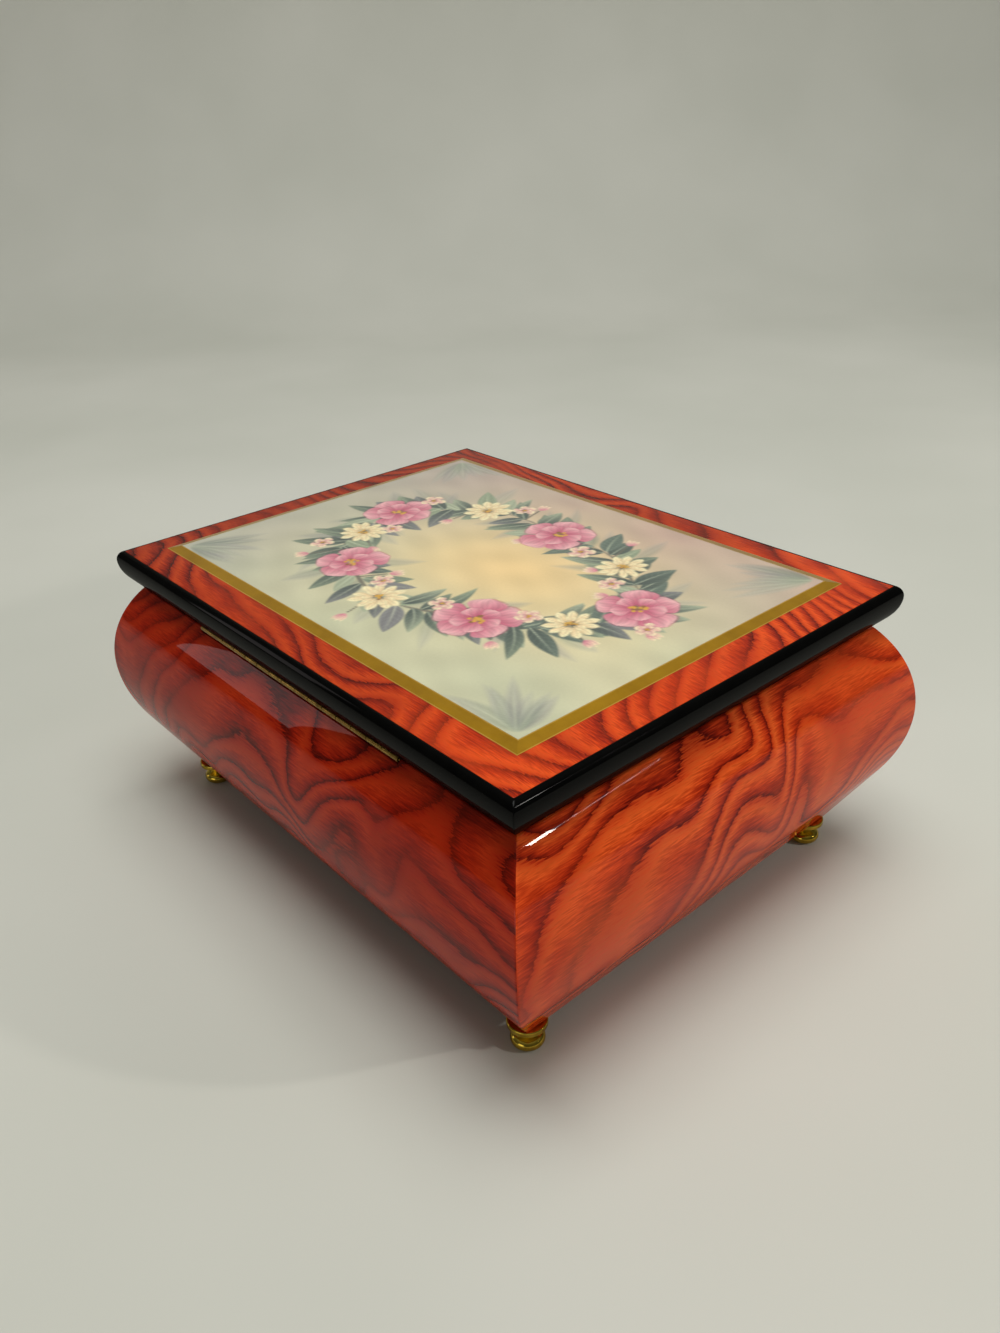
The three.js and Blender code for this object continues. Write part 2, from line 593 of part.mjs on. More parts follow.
function pinnedCylinder(group) {
  const { radius, left, right, arbor, arborLeft, arborRight } = CYLINDER;
  const drum = crossRod(radius, left, right, AXIS_Y, AXIS_Z, 48);
  const shaft = crossRod(arbor, arborLeft, arborRight, AXIS_Y, AXIS_Z, 16);
  const pins = [];
  for (let note = 0; note < NOTES; note += 1) {
    const x = COMB.left + COMB.pitch * note + COMB.tooth / 2;
    for (let k = 0; k < PINS.perNote; k += 1) {
      const place = note * PINS.noteShift + k * PINS.pinShift + ((k * note) % PINS.mix);
      const half = PINS.size / 2;
      const pin = block(-half, half, -half, half, radius - ROOTED, radius + PINS.height);
      pin.rotateX((CIRCLE * (place % PINS.turnSteps)) / PINS.turnSteps);
      pins.push(pin.translate(x, AXIS_Y, AXIS_Z));
    }
  }
  part(group, 'pinned_cylinder', join(drum, shaft, ...pins), finishes.brass);
}

function cylinderGears(group) {
  const bore = CYLINDER.arbor + FIT;
  const halfTooth = Math.PI / DRIVE_PINION.teeth;
  const pinion = gearShape(DRIVE_PINION, bore, AXIS_Y, AXIS_Z, -Math.PI / 2 + halfTooth);
  const gear = gearShape(CYLINDER_GEAR, bore, AXIS_Y, AXIS_Z, 0);
  part(group, 'drive_pinion', across(pinion, DRIVE_PINION.left, DRIVE_PINION.width), finishes.steel);
  part(group, 'cylinder_gear', across(gear, CYLINDER_GEAR.left, CYLINDER_GEAR.width), finishes.brass);
}

function comb(group) {
  const right = COMB.left + NOTES * COMB.pitch;
  const baseLeft = SEAT.left + SEAT.shoulder;
  const baseRight = SEAT.right - SEAT.shoulder;
  const outline = [[baseLeft, COMB.base], [baseRight, COMB.base],
    [baseRight, COMB_ROOT.treble], [right, COMB_ROOT.treble]];
  for (let note = NOTES - 1; note >= 0; note -= 1) {
    const x = COMB.left + note * COMB.pitch;
    const root = THREE.MathUtils.lerp(COMB_ROOT.bass, COMB_ROOT.treble, note / (NOTES - 1));
    outline.push([x + COMB.tooth, root], [x + COMB.tooth, COMB.tip], [x, COMB.tip], [x, root]);
  }
  outline.push([baseLeft, COMB_ROOT.bass]);
  const shape = new THREE.Shape(outline.map(([x, y]) => new THREE.Vector2(x, y)));
  const screwX = [SEAT.left + COMB_SCREW.inset, SEAT.right - COMB_SCREW.inset];
  for (const x of screwX) shape.holes.push(circleHole(x, COMB_SCREW.y, COMB_SCREW.hole));
  part(group, 'comb', upright(shape, COMB.low, COMB.thickness), finishes.steel);
  screwX.forEach((x, i) => {
    const top = COMB.low + COMB.thickness + SEAT_GAP;
    const head = uprightRod(COMB_SCREW.head, x, COMB_SCREW.y, top, top + COMB_SCREW.headHeight);
    const shank = uprightRod(COMB_SCREW.shank, x, COMB_SCREW.y, COMB.low, top + ROOTED);
    part(group, `comb_screw_${i + 1}`, join(head, shank), finishes.brass);
  });
}

function bearingPosts(group) {
  for (const [side, x] of [['left', POST.left], ['right', POST.right]]) {
    const shape = new THREE.Shape();
    shape.moveTo(AXIS_Y - POST.halfWidth, SEAT_GAP);
    shape.lineTo(AXIS_Y + POST.halfWidth, SEAT_GAP);
    shape.lineTo(AXIS_Y + POST.eye, AXIS_Z);
    shape.absarc(AXIS_Y, AXIS_Z, POST.eye, 0, Math.PI);
    shape.closePath();
    shape.holes.push(circleHole(AXIS_Y, AXIS_Z, POST.hole));
    part(group, `bearing_post_${side}`, across(shape, x, POST.thickness), finishes.steel);
  }
}

const governorY = AXIS_Y + (CYLINDER_GEAR.module * (CYLINDER_GEAR.teeth + GOVERNOR_PINION.teeth)) / 2;
const wormY = governorY + (WORM_WHEEL.module * WORM_WHEEL.teeth) / 2 + WORM.pitchRadius;

function governorBracket(group) {
  const { left, right, cheek, front, back, base, eyeTop } = BRACKET;
  const arm = BRACKET_ARM;
  const low = SEAT_GAP;
  const armTop = arm.low + arm.thickness;
  const pieces = [
    block(left, right + cheek, front, back, low, base),
    block(left, left + cheek, front, back, low, eyeTop),
    block(left, left + cheek, arm.front, back, low, armTop),
    block(right, right + cheek, front, governorY + (governorY - front), low, eyeTop),
    block(left, arm.right, arm.front, back, arm.low, armTop),
  ];
  const holes = [
    crossRod(GOVERNOR_ARBOR.hole, left - CUT_PAST, right + cheek + CUT_PAST, governorY, AXIS_Z, 12),
    uprightRod(WORM_SHAFT.hole, WORM.x, wormY, arm.low - CUT_PAST, armTop + CUT_PAST, 12),
  ];
  part(group, 'governor_bracket', cut(join(...pieces), ...holes), finishes.steel);
}

function governorWheel(group) {
  const { radius, left, right } = GOVERNOR_ARBOR;
  const meshPhase = Math.PI + Math.PI / GOVERNOR_PINION.teeth;
  const pinion = gearShape(GOVERNOR_PINION, 0, governorY, AXIS_Z, meshPhase);
  const shaft = crossRod(radius, left, right, governorY, AXIS_Z, 12);
  const arbor = join(shaft, across(pinion, CYLINDER_GEAR.left, CYLINDER_GEAR.width));
  const wheel = gearShape(WORM_WHEEL, radius + FIT, governorY, AXIS_Z, 0);
  part(group, 'governor_arbor', arbor, finishes.steel);
  part(group, 'worm_wheel', across(wheel, WORM_WHEEL.left, WORM_WHEEL.width), finishes.brass);
}

// One start of thread: a ridge of triangular section wound up the shaft
function wormThread() {
  const pitch = Math.PI * WORM_WHEEL.module;
  const count = Math.round(WORM.turns * WORM.steps);
  const flank = WORM.flankShare * pitch;
  const crest = WORM.crestShare * pitch;
  const inner = WORM.root - ROOTED;
  const vertices = [];
  const triangles = [];
  const contactAngle = -Math.PI / 2;
  const gapHeight = AXIS_Z + pitch / 2;
  const startTurn = (WORM.low - gapHeight) / pitch;
  for (let i = 0; i <= count; i += 1) {
    const turn = startTurn + i / WORM.steps;
    const angle = contactAngle + CIRCLE * turn;
    const z = gapHeight + pitch * turn;
    const [cos, sin] = [Math.cos(angle), Math.sin(angle)];
    for (const [radius, rise] of [[inner, -flank], [WORM.tip, -crest], [WORM.tip, crest], [inner, flank]]) {
      vertices.push([WORM.x + radius * cos, wormY + radius * sin, z + rise]);
    }
  }
  for (let i = 0; i < count; i += 1) {
    for (let j = 0; j < 4; j += 1) {
      const a = i * 4 + j;
      const b = i * 4 + ((j + 1) % 4);
      triangles.push([a, a + 4, b + 4], [a, b + 4, b]);
    }
  }
  const last = count * 4;
  triangles.push([0, 1, 2], [0, 2, 3], [last, last + 2, last + 1], [last, last + 3, last + 2]);
  return indexed(vertices, triangles);
}

function governorFan(group) {
  const high = WORM.low + WORM.turns * Math.PI * WORM_WHEEL.module;
  const shaft = uprightRod(WORM_SHAFT.radius, WORM.x, wormY, WORM_SHAFT.bottom, WORM_SHAFT.top, 12);
  const core = uprightRod(WORM.root, WORM.x, wormY, WORM.low - WORM.shoulder, high + WORM.shoulder, 12);
  const hub = uprightRod(FAN.hub, WORM.x, wormY, FAN.low, FAN.high, 12);
  const blade = block(WORM.x - FAN.span / 2, WORM.x + FAN.span / 2, wormY - FAN.blade / 2,
    wormY + FAN.blade / 2, FAN.low, FAN.high);
  const bore = uprightRod(FAN.bore, WORM.x, wormY, FAN.low - CUT_PAST, FAN.high + CUT_PAST, 12);
  part(group, 'worm_shaft', join(shaft, core, wormThread()), finishes.steel);
  part(group, 'fan', cut(join(hub, blade), bore), finishes.brass);
}

function stopRod(group) {
  const top = STOP_TOP - MOVEMENT_Z;
  const column = turned([[STOP_GUIDE.bore, SEAT_GAP], [STOP_GUIDE.radius, SEAT_GAP],
    [STOP_GUIDE.radius, STOP_GUIDE.top], [STOP_GUIDE.bore, STOP_GUIDE.top], [STOP_GUIDE.bore, SEAT_GAP]], 16);
  const rod = uprightRod(STOP.rod, STOP.x, STOP.y, STOP.low, top, 12);
  const finger = block(STOP.x, STOP.x + STOP.reach, STOP.y - STOP.finger / 2,
    STOP.y + STOP.finger / 2, STOP.fingerLow, STOP.fingerLow + STOP.finger);
  part(group, 'stop_guide', column.translate(STOP.x, STOP.y, 0), finishes.brass);
  part(group, 'stop_rod', join(rod, finger), finishes.steel);
}

function part(group, name, geometry, material) {
  const mesh = new THREE.Mesh(geometry, material);
  mesh.name = name;
  group.add(mesh);
}

const musicBox = new THREE.Group();
const caseGroup = new THREE.Group();
const lidGroup = new THREE.Group();
const movement = new THREE.Group();
movement.position.set(MOVEMENT_X, MOVEMENT_Y, MOVEMENT_Z);
musicBox.add(caseGroup, lidGroup, movement);

for (const build of [caseWalls, bottomPanel, feet, dividers, ledges, movementCover, linings, ringTray]) {
  build(caseGroup);
}
for (const build of [lidBoard, lidTop, lidPad]) build(lidGroup);
hinge(caseGroup, lidGroup);
for (const build of [bedplate, springBarrel, windingParts, pinnedCylinder, cylinderGears, comb, bearingPosts,
  governorBracket, governorWheel, governorFan, stopRod]) {
  build(movement);
}

export default musicBox;
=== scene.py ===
import json
import math
import random

import bmesh
import bpy
import numpy as np
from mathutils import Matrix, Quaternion, Vector


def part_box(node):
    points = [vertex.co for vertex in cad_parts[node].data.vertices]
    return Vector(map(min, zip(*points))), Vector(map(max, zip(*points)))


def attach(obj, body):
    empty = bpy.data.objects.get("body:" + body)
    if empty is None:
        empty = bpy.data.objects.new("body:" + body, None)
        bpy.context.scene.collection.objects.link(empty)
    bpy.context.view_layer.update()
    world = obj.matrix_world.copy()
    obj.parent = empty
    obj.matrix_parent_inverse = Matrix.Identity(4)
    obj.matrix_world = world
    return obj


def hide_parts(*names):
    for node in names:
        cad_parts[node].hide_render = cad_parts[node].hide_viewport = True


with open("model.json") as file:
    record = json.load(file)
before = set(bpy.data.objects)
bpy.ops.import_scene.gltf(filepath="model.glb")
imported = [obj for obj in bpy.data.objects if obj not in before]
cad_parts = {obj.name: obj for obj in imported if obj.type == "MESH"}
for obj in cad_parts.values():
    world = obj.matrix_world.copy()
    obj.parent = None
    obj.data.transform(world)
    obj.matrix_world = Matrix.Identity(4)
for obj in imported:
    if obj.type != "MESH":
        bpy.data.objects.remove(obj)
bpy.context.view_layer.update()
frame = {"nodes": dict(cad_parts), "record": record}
mm = 0.001
print("frame loaded with", len(frame["nodes"]), "nodes")


# Small tools shared by all pieces

def linear(hexText):  # sRGB hex to the linear colour that shaders take
    parts = [int(hexText[i:i + 2], 16) / 255 for i in (1, 3, 5)]
    return tuple(c / 12.92 if c <= 0.04045 else ((c + 0.055) / 1.055) ** 2.4 for c in parts) + (1.0,)


def addNode(tree, kind, inputs=None, links=None, stops=None, **settings):
    made = tree.nodes.new("ShaderNode" + kind)
    for name, value in settings.items():
        setattr(made, name, value)
    for socket, value in (inputs or {}).items():
        made.inputs[socket].default_value = value
    for socket, source in (links or {}).items():
        tree.links.new(source, made.inputs[socket])
    for i, (place, hexText) in enumerate(stops or []):  # stops of a colour ramp
        stop = made.color_ramp.elements[i] if i < 2 else made.color_ramp.elements.new(place)
        stop.position = place
        stop.color = linear(hexText)
    return made


def newFinish(name, shaderInputs):
    material = bpy.data.materials.new(name)
    material.use_nodes = True
    tree = material.node_tree
    for socket, value in shaderInputs.items():
        tree.nodes["Principled BSDF"].inputs[socket].default_value = value
    coords = addNode(tree, "TexCoord").outputs["Object"]
    return material, tree, coords


def linkShader(material, sources):  # source for each of the shader's sockets
    tree = material.node_tree
    for socket, source in sources.items():
        tree.links.new(source, tree.nodes["Principled BSDF"].inputs[socket])
    return material


def perMetre(size):  # texture scale from a real size in mm
    return 1000 / size


def grainSize(x, y, z):  # the same, for a pattern that is longer one way
    return (perMetre(x), perMetre(y), perMetre(z))


def editMode():
    bpy.ops.object.mode_set(mode="EDIT")


def objectMode():
    bpy.ops.object.mode_set(mode="OBJECT")


def selectAll():
    bpy.ops.mesh.select_all(action="SELECT")


def applyPlace():
    bpy.ops.object.transform_apply(location=True, rotation=True, scale=True)


def makeActive(piece):
    bpy.ops.object.select_all(action="DESELECT")
    piece.select_set(True)
    bpy.context.view_layer.objects.active = piece


def rename(piece, name):
    piece.name = name
    piece.data.name = name


def beginPiece(name, primitive, **settings):
    bpy.ops.object.select_all(action="DESELECT")
    primitive(**settings)
    piece = bpy.context.object
    rename(piece, name)
    editMode()
    bpy.ops.mesh.select_mode(type="VERT")
    return piece


def pick(piece, kind, test):  # selects the edges or faces that pass the test
    bpy.ops.mesh.select_mode(type={"edges": "EDGE", "faces": "FACE"}[kind])
    bpy.ops.mesh.select_all(action="DESELECT")
    shape = bmesh.from_edit_mesh(piece.data)
    for element in getattr(shape, kind):
        if test(element):
            element.select_set(True)
    shape.select_flush_mode()
    bmesh.update_edit_mesh(piece.data)


def extrudeBy(move):  # in metres
    bpy.ops.mesh.extrude_region_move(TRANSFORM_OT_translate={"value": move})


def stackLevels(levels):  # extrudes the selection up through (half x, half y, z) levels in mm
    for low, high in zip(levels, levels[1:]):
        extrudeBy((0, 0, (high[2] - low[2]) * mm))
        bpy.ops.transform.resize(value=(high[0] / low[0], high[1] / low[1], 1), center_override=(0, 0, 0))


def closeShell():
    selectAll()
    bpy.ops.mesh.remove_doubles(threshold=1e-7)
    selectAll()
    bpy.ops.mesh.normals_make_consistent(inside=False)


def applyModifier(piece, kind, **settings):
    bpy.ops.object.modifier_add(type=kind)
    modifier = piece.modifiers[-1]
    for name, value in settings.items():
        setattr(modifier, name, value)
    bpy.ops.object.modifier_apply(modifier=modifier.name)


def blockPlace(low, high):  # settings of a cube between two corners in mm
    return {"size": 1, "location": [(a + b) / 2 * mm for a, b in zip(low, high)],
            "scale": [(b - a) * mm for a, b in zip(low, high)]}


def cutWithBlock(piece, low, high):  # low and high corners in mm
    bpy.ops.object.select_all(action="DESELECT")
    bpy.ops.mesh.primitive_cube_add(**blockPlace(low, high))
    cutter = bpy.context.object
    makeActive(piece)
    applyModifier(piece, "BOOLEAN", object=cutter, operation="DIFFERENCE", solver="EXACT")
    bpy.data.objects.remove(cutter)


def shadeByAngle(piece, degrees=30):
    makeActive(piece)
    bpy.ops.object.shade_smooth_by_angle(angle=math.radians(degrees))
    applyModifier(piece, "WEIGHTED_NORMAL", keep_sharp=True)


def settle(piece, finish, body, slotName, *nodes):  # place applied, finish, body and the nodes it stands for
    if bpy.context.mode != "OBJECT":
        objectMode()
    makeActive(piece)
    applyPlace()
    if finish:  # walls and band already have theirs
        piece.data.materials.append(finishes[finish])
    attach(piece, body)
    if nodes:
        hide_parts(*nodes)


def joinPieces(name, pieces):
    bpy.ops.object.select_all(action="DESELECT")
    for piece in pieces:
        piece.select_set(True)
    bpy.context.view_layer.objects.active = pieces[0]
    bpy.ops.object.join()
    joined = bpy.context.object
    rename(joined, name)
    return joined


def copyPiece(piece, name, shift):  # shift in mm
    makeActive(piece)
    bpy.ops.object.duplicate()
    copy = bpy.context.object
    rename(copy, name)
    bpy.ops.transform.translate(value=[part * mm for part in shift])
    return copy


def pointsOf(piece):
    points = np.zeros(len(piece.data.vertices) * 3)
    piece.data.vertices.foreach_get("co", points)
    return points.reshape(-1, 3)


def setPoints(piece, points):
    piece.data.vertices.foreach_set("co", points.ravel())


# Finishes

veneerLook = {
    "bendSize": 56, "swirlSize": 48, "patchSize": 19, "swirl": 3.4, "ragged": 0.3, "feather": 0.26,
    # the lid's painted shade runs along x between these two places, in metres
    "poreDepth": 0.16, "paintedShadeFrom": -0.1, "paintedShadeTo": 0.1,
}
veneerTones = {  # from the dark lines to the brightest wood, for each sheet
    # the long sheet is darker than the short one as painted shade on the long walls
    "long": ["#4B0B06", "#621107", "#8B1909", "#A9260D", "#BC3513"],
    "short": ["#4C0C07", "#821B0C", "#B52E11", "#DA471B", "#F26429"],
    "lid": ["#380905", "#6C1407", "#9A220B", "#C83B12", "#E6551D"],
}
lidPaintedShade = [  # painted shade: the lid's sheet darkens along its length
    (0.0, "#FFFFFF"), (1.0, "#BCACA6"), (0.12, "#FFFFFF"), (0.3, "#DACEC8"), (0.8, "#D4C6C0"),
]


def burlVeneer(sheet, flow, spacing, reach, fibre, tilt, offset, shade=None):
    # Burl veneer under polyester lacquer: flowing dark lines, crisp on one side and feathered on the other,
    # under a wet gloss, with an optional painted shade along the sheet
    look = veneerLook
    dark, vein, mid, light, glow = veneerTones[sheet]
    material, tree, coords = newFinish("burlVeneer" + sheet.title(), {
        "Roughness": 0.4, "Specular IOR Level": 0.0, "Coat Weight": 0.6, "Coat Roughness": 0.015,
        "Coat IOR": 1.34})
    place = addNode(tree, "Mapping", {"Location": offset}, {"Vector": coords}).outputs[0]
    bend = addNode(tree, "TexNoise", {"Scale": perMetre(look["bendSize"]), "Detail": 1.0, "Roughness": 0.4},
                   {"Vector": place})
    push = addNode(tree, "VectorMath", {1: (0.5, 0.5, 0.5)}, {0: bend.outputs["Color"]}, operation="SUBTRACT")
    warped = addNode(tree, "VectorMath", {1: (reach * 2 * mm,) * 3}, {0: push.outputs[0], 2: place},
                     operation="MULTIPLY_ADD").outputs[0]
    swirl = addNode(tree, "TexNoise", {
        "Scale": perMetre(look["swirlSize"]), "Detail": 0.6, "Roughness": 0.35},
        {"Vector": warped}).outputs["Fac"]
    layers = addNode(tree, "VectorMath", {1: [perMetre(spacing) * part for part in flow]}, {0: warped},
                     operation="DOT_PRODUCT").outputs["Value"]
    swirled = addNode(tree, "Math", {1: look["swirl"] * 2}, {0: swirl, 2: layers}, operation="MULTIPLY_ADD")
    fibrePlace = addNode(tree, "Mapping", {"Rotation": tilt, "Scale": grainSize(*fibre)}, {"Vector": coords})
    fibres = addNode(tree, "TexNoise", {"Scale": 1.0, "Detail": 2.0, "Roughness": 0.55},
                     {"Vector": fibrePlace.outputs[0]}).outputs["Fac"]
    ragged = addNode(tree, "Math", {1: look["ragged"]}, {0: fibres, 2: swirled.outputs[0]},
                     operation="MULTIPLY_ADD")
    saw = addNode(tree, "Math", {}, {0: ragged.outputs[0]}, operation="FRACT").outputs[0]
    combed = addNode(tree, "MapRange", {
        "From Min": 0.25, "From Max": 0.75, "To Min": -look["feather"] / 2, "To Max": look["feather"] / 2},
        {"Value": fibres}).outputs[0]
    easing = addNode(tree, "MapRange", {"From Min": 0.02, "From Max": 0.3}, {"Value": saw}).outputs[0]
    feathered = addNode(tree, "Math", {}, {0: combed, 1: easing, 2: saw}, operation="MULTIPLY_ADD").outputs[0]
    figure = addNode(tree, "ValToRGB", {}, {"Fac": feathered}, stops=[
        (0.0, dark), (1.0, mid), (0.06, vein), (0.19, mid), (0.42, light), (0.7, glow), (0.93, light)])
    patch = addNode(tree, "TexNoise", {"Scale": perMetre(look["patchSize"]), "Detail": 2.0},
                    {"Vector": warped})
    plain = addNode(tree, "ValToRGB", {}, {"Fac": patch.outputs["Fac"]}, stops=[
        (0.28, mid), (0.78, glow), (0.5, light)])
    strength = addNode(tree, "MapRange", {"From Min": 0.36, "From Max": 0.56, "To Min": 0.45, "To Max": 1.0},
                       {"Value": bend.outputs["Fac"]}).outputs[0]
    figured = addNode(tree, "Mix", {}, {"Factor": strength, 6: plain.outputs[0], 7: figure.outputs[0]},
                      data_type="RGBA")
    poreShade = addNode(tree, "MapRange", {
        "From Min": 0.38, "From Max": 0.66, "To Min": 1.0 - look["poreDepth"], "To Max": 1.06},
        {"Value": fibres}).outputs[0]
    colour = addNode(tree, "Mix", {"Factor": 1.0}, {6: figured.outputs[2], 7: poreShade},
                     data_type="RGBA", blend_type="MULTIPLY").outputs[2]
    if shade:  # painted shade: the sheet darkens from one end to the other
        along = addNode(tree, "SeparateXYZ", {}, {"Vector": coords}).outputs["X"]
        share = addNode(tree, "MapRange", {"From Min": look["paintedShadeFrom"], "From Max": look["paintedShadeTo"]},
                        {"Value": along}).outputs[0]
        paintedShadeRamp = addNode(tree, "ValToRGB", {}, {"Fac": share}, stops=shade).outputs[0]
        colour = addNode(tree, "Mix", {"Factor": 1.0}, {6: colour, 7: paintedShadeRamp},
                         data_type="RGBA", blend_type="MULTIPLY").outputs[2]
    bump = addNode(tree, "Bump", {"Strength": 0.005, "Distance": 0.0001}, {"Height": fibres})
    return linkShader(material, {"Base Color": colour, "Normal": bump.outputs[0]})


def blackLacquer():
    # Polished black lacquer: near black, mirror gloss, with the faint haze of handling
    material, tree, coords = newFinish("blackLacquer", {
        "Specular IOR Level": 0.0, "Coat Weight": 0.2, "Coat Roughness": 0.06, "Coat IOR": 1.45})
    haze = addNode(tree, "TexNoise", {"Scale": perMetre(9), "Detail": 5.0, "Roughness": 0.7},
                   {"Vector": coords}).outputs["Fac"]
    tone = addNode(tree, "ValToRGB", {}, {"Fac": haze}, stops=[(0.3, "#030303"), (0.8, "#080807")])
    gloss = addNode(tree, "MapRange", {"To Min": 0.12, "To Max": 0.3}, {"Value": haze})
    return linkShader(material, {"Base Color": tone.outputs[0], "Roughness": gloss.outputs[0]})


def goldInlay(name, deep, bright, roughness):
    # Gold foil inlay under lacquer: soft metal lustre with fine clouding
    material, tree, coords = newFinish(name, {
        "Metallic": 0.4, "Roughness": roughness, "Specular IOR Level": 0.1, "Coat Weight": 0.5,
        "Coat Roughness": 0.02, "Coat IOR": 1.4})
    cloud = addNode(tree, "TexNoise", {"Scale": perMetre(14), "Detail": 6.0, "Roughness": 0.65},
                    {"Vector": coords}).outputs["Fac"]
    tone = addNode(tree, "ValToRGB", {}, {"Fac": cloud}, stops=[(0.3, deep), (0.75, bright)])
    bump = addNode(tree, "Bump", {"Strength": 0.04, "Distance": 0.0001}, {"Height": cloud})
    return linkShader(material, {"Base Color": tone.outputs[0], "Normal": bump.outputs[0]})


def polishedBrass(name, deep, bright, roughness):
    # Turned and polished brass: warm mirror metal, a little browner where it has tarnished
    material, tree, coords = newFinish(name, {"Metallic": 1.0})
    tarnish = addNode(tree, "TexNoise", {"Scale": perMetre(5), "Detail": 6.0, "Roughness": 0.7},
                      {"Vector": coords}).outputs["Fac"]
    tone = addNode(tree, "ValToRGB", {}, {"Fac": tarnish}, stops=[(0.3, deep), (0.62, bright)])
    gloss = addNode(tree, "MapRange", {"To Min": roughness * 1.8, "To Max": roughness * 0.6},
                    {"Value": tarnish})
    return linkShader(material, {"Base Color": tone.outputs[0], "Roughness": gloss.outputs[0]})


def printedPicture():
    # Printed picture under lacquer: soft paint colours from the panel's own colour layer, with a paper tooth
    material, tree, coords = newFinish("printedPicture", {
        "Roughness": 0.5, "Specular IOR Level": 0.2, "Coat Weight": 1.0, "Coat Roughness": 0.018,
        "Coat IOR": 1.5})
    paint = addNode(tree, "VertexColor", layer_name="paint").outputs[0]
    tooth = addNode(tree, "TexNoise", {"Scale": perMetre(0.9), "Detail": 4.0, "Roughness": 0.7},
                    {"Vector": coords}).outputs["Fac"]
    shade = addNode(tree, "MapRange", {"To Min": 0.93, "To Max": 1.06}, {"Value": tooth}).outputs[0]
    toned = addNode(tree, "Mix", {"Factor": 1.0}, {6: paint, 7: shade},
                    data_type="RGBA", blend_type="MULTIPLY")
    return linkShader(material, {"Base Color": toned.outputs[2]})


def brushedSteel(name, dull, bright, roughness, grain):
    # Spring steel: grey metal with fine grinding lines along the piece
    material, tree, coords = newFinish(name, {"Metallic": 1.0})
    place = addNode(tree, "Mapping", {"Scale": grainSize(*grain)}, {"Vector": coords}).outputs[0]
    lines = addNode(tree, "TexNoise", {"Scale": 1.0, "Detail": 4.0, "Roughness": 0.6},
                    {"Vector": place}).outputs["Fac"]
    tone = addNode(tree, "ValToRGB", {}, {"Fac": lines}, stops=[(0.3, dull), (0.7, bright)])
    gloss = addNode(tree, "MapRange", {"To Min": roughness * 0.7, "To Max": roughness * 1.4},
                    {"Value": lines})
    bump = addNode(tree, "Bump", {"Strength": 0.12, "Distance": 0.00005}, {"Height": lines})
    return linkShader(material, {
        "Base Color": tone.outputs[0], "Roughness": gloss.outputs[0], "Normal": bump.outputs[0]})


def castPlate():
    # Die-cast zinc with a gold wash: satin metal with a fine pebbled skin, thinner on raised spots
    material, tree, coords = newFinish("goldWashedCasting", {"Metallic": 0.9})
    pebble = addNode(tree, "TexNoise", {"Scale": perMetre(0.7), "Detail": 3.0},
                     {"Vector": coords}).outputs["Fac"]
    worn = addNode(tree, "TexNoise", {"Scale": perMetre(11), "Detail": 5.0, "Roughness": 0.65},
                   {"Vector": coords}).outputs["Fac"]
    tone = addNode(tree, "ValToRGB", {}, {"Fac": worn}, stops=[(0.3, "#8F7A42"), (0.72, "#B9A56A")])
    gloss = addNode(tree, "MapRange", {"To Min": 0.34, "To Max": 0.56}, {"Value": pebble})
    bump = addNode(tree, "Bump", {"Strength": 0.3, "Distance": 0.0001}, {"Height": pebble})
    return linkShader(material, {
        "Base Color": tone.outputs[0], "Roughness": gloss.outputs[0], "Normal": bump.outputs[0]})


def plainWood():
    # Sanded limewood board: pale brown with soft straight grain, dry and matt
    material, tree, coords = newFinish("sandedWood", {"Specular IOR Level": 0.3})
    place = addNode(tree, "Mapping", {"Scale": grainSize(60, 5, 5)}, {"Vector": coords}).outputs[0]
    grain = addNode(tree, "TexNoise", {"Scale": 1.0, "Detail": 6.0, "Roughness": 0.6, "Distortion": 0.4},
                    {"Vector": place}).outputs["Fac"]
    fine = addNode(tree, "Mapping", {"Scale": grainSize(7, 0.35, 0.35)}, {"Vector": coords}).outputs[0]
    pores = addNode(tree, "TexNoise", {"Scale": 1.0, "Detail": 2.0}, {"Vector": fine}).outputs["Fac"]
    tone = addNode(tree, "ValToRGB", {}, {"Fac": grain},
                   stops=[(0.3, "#8A6238"), (0.72, "#BE9562"), (0.5, "#A97F4D")])
    shade = addNode(tree, "MapRange", {"From Min": 0.3, "From Max": 0.7, "To Min": 0.84, "To Max": 1.05},
                    {"Value": pores})
    toned = addNode(tree, "Mix", {"Factor": 1.0}, {6: tone.outputs[0], 7: shade.outputs[0]},
                    data_type="RGBA", blend_type="MULTIPLY")
    gloss = addNode(tree, "MapRange", {"To Min": 0.6, "To Max": 0.8}, {"Value": pores})
    bump = addNode(tree, "Bump", {"Strength": 0.25, "Distance": 0.0001}, {"Height": pores})
    return linkShader(material, {
        "Base Color": toned.outputs[2], "Roughness": gloss.outputs[0], "Normal": bump.outputs[0]})


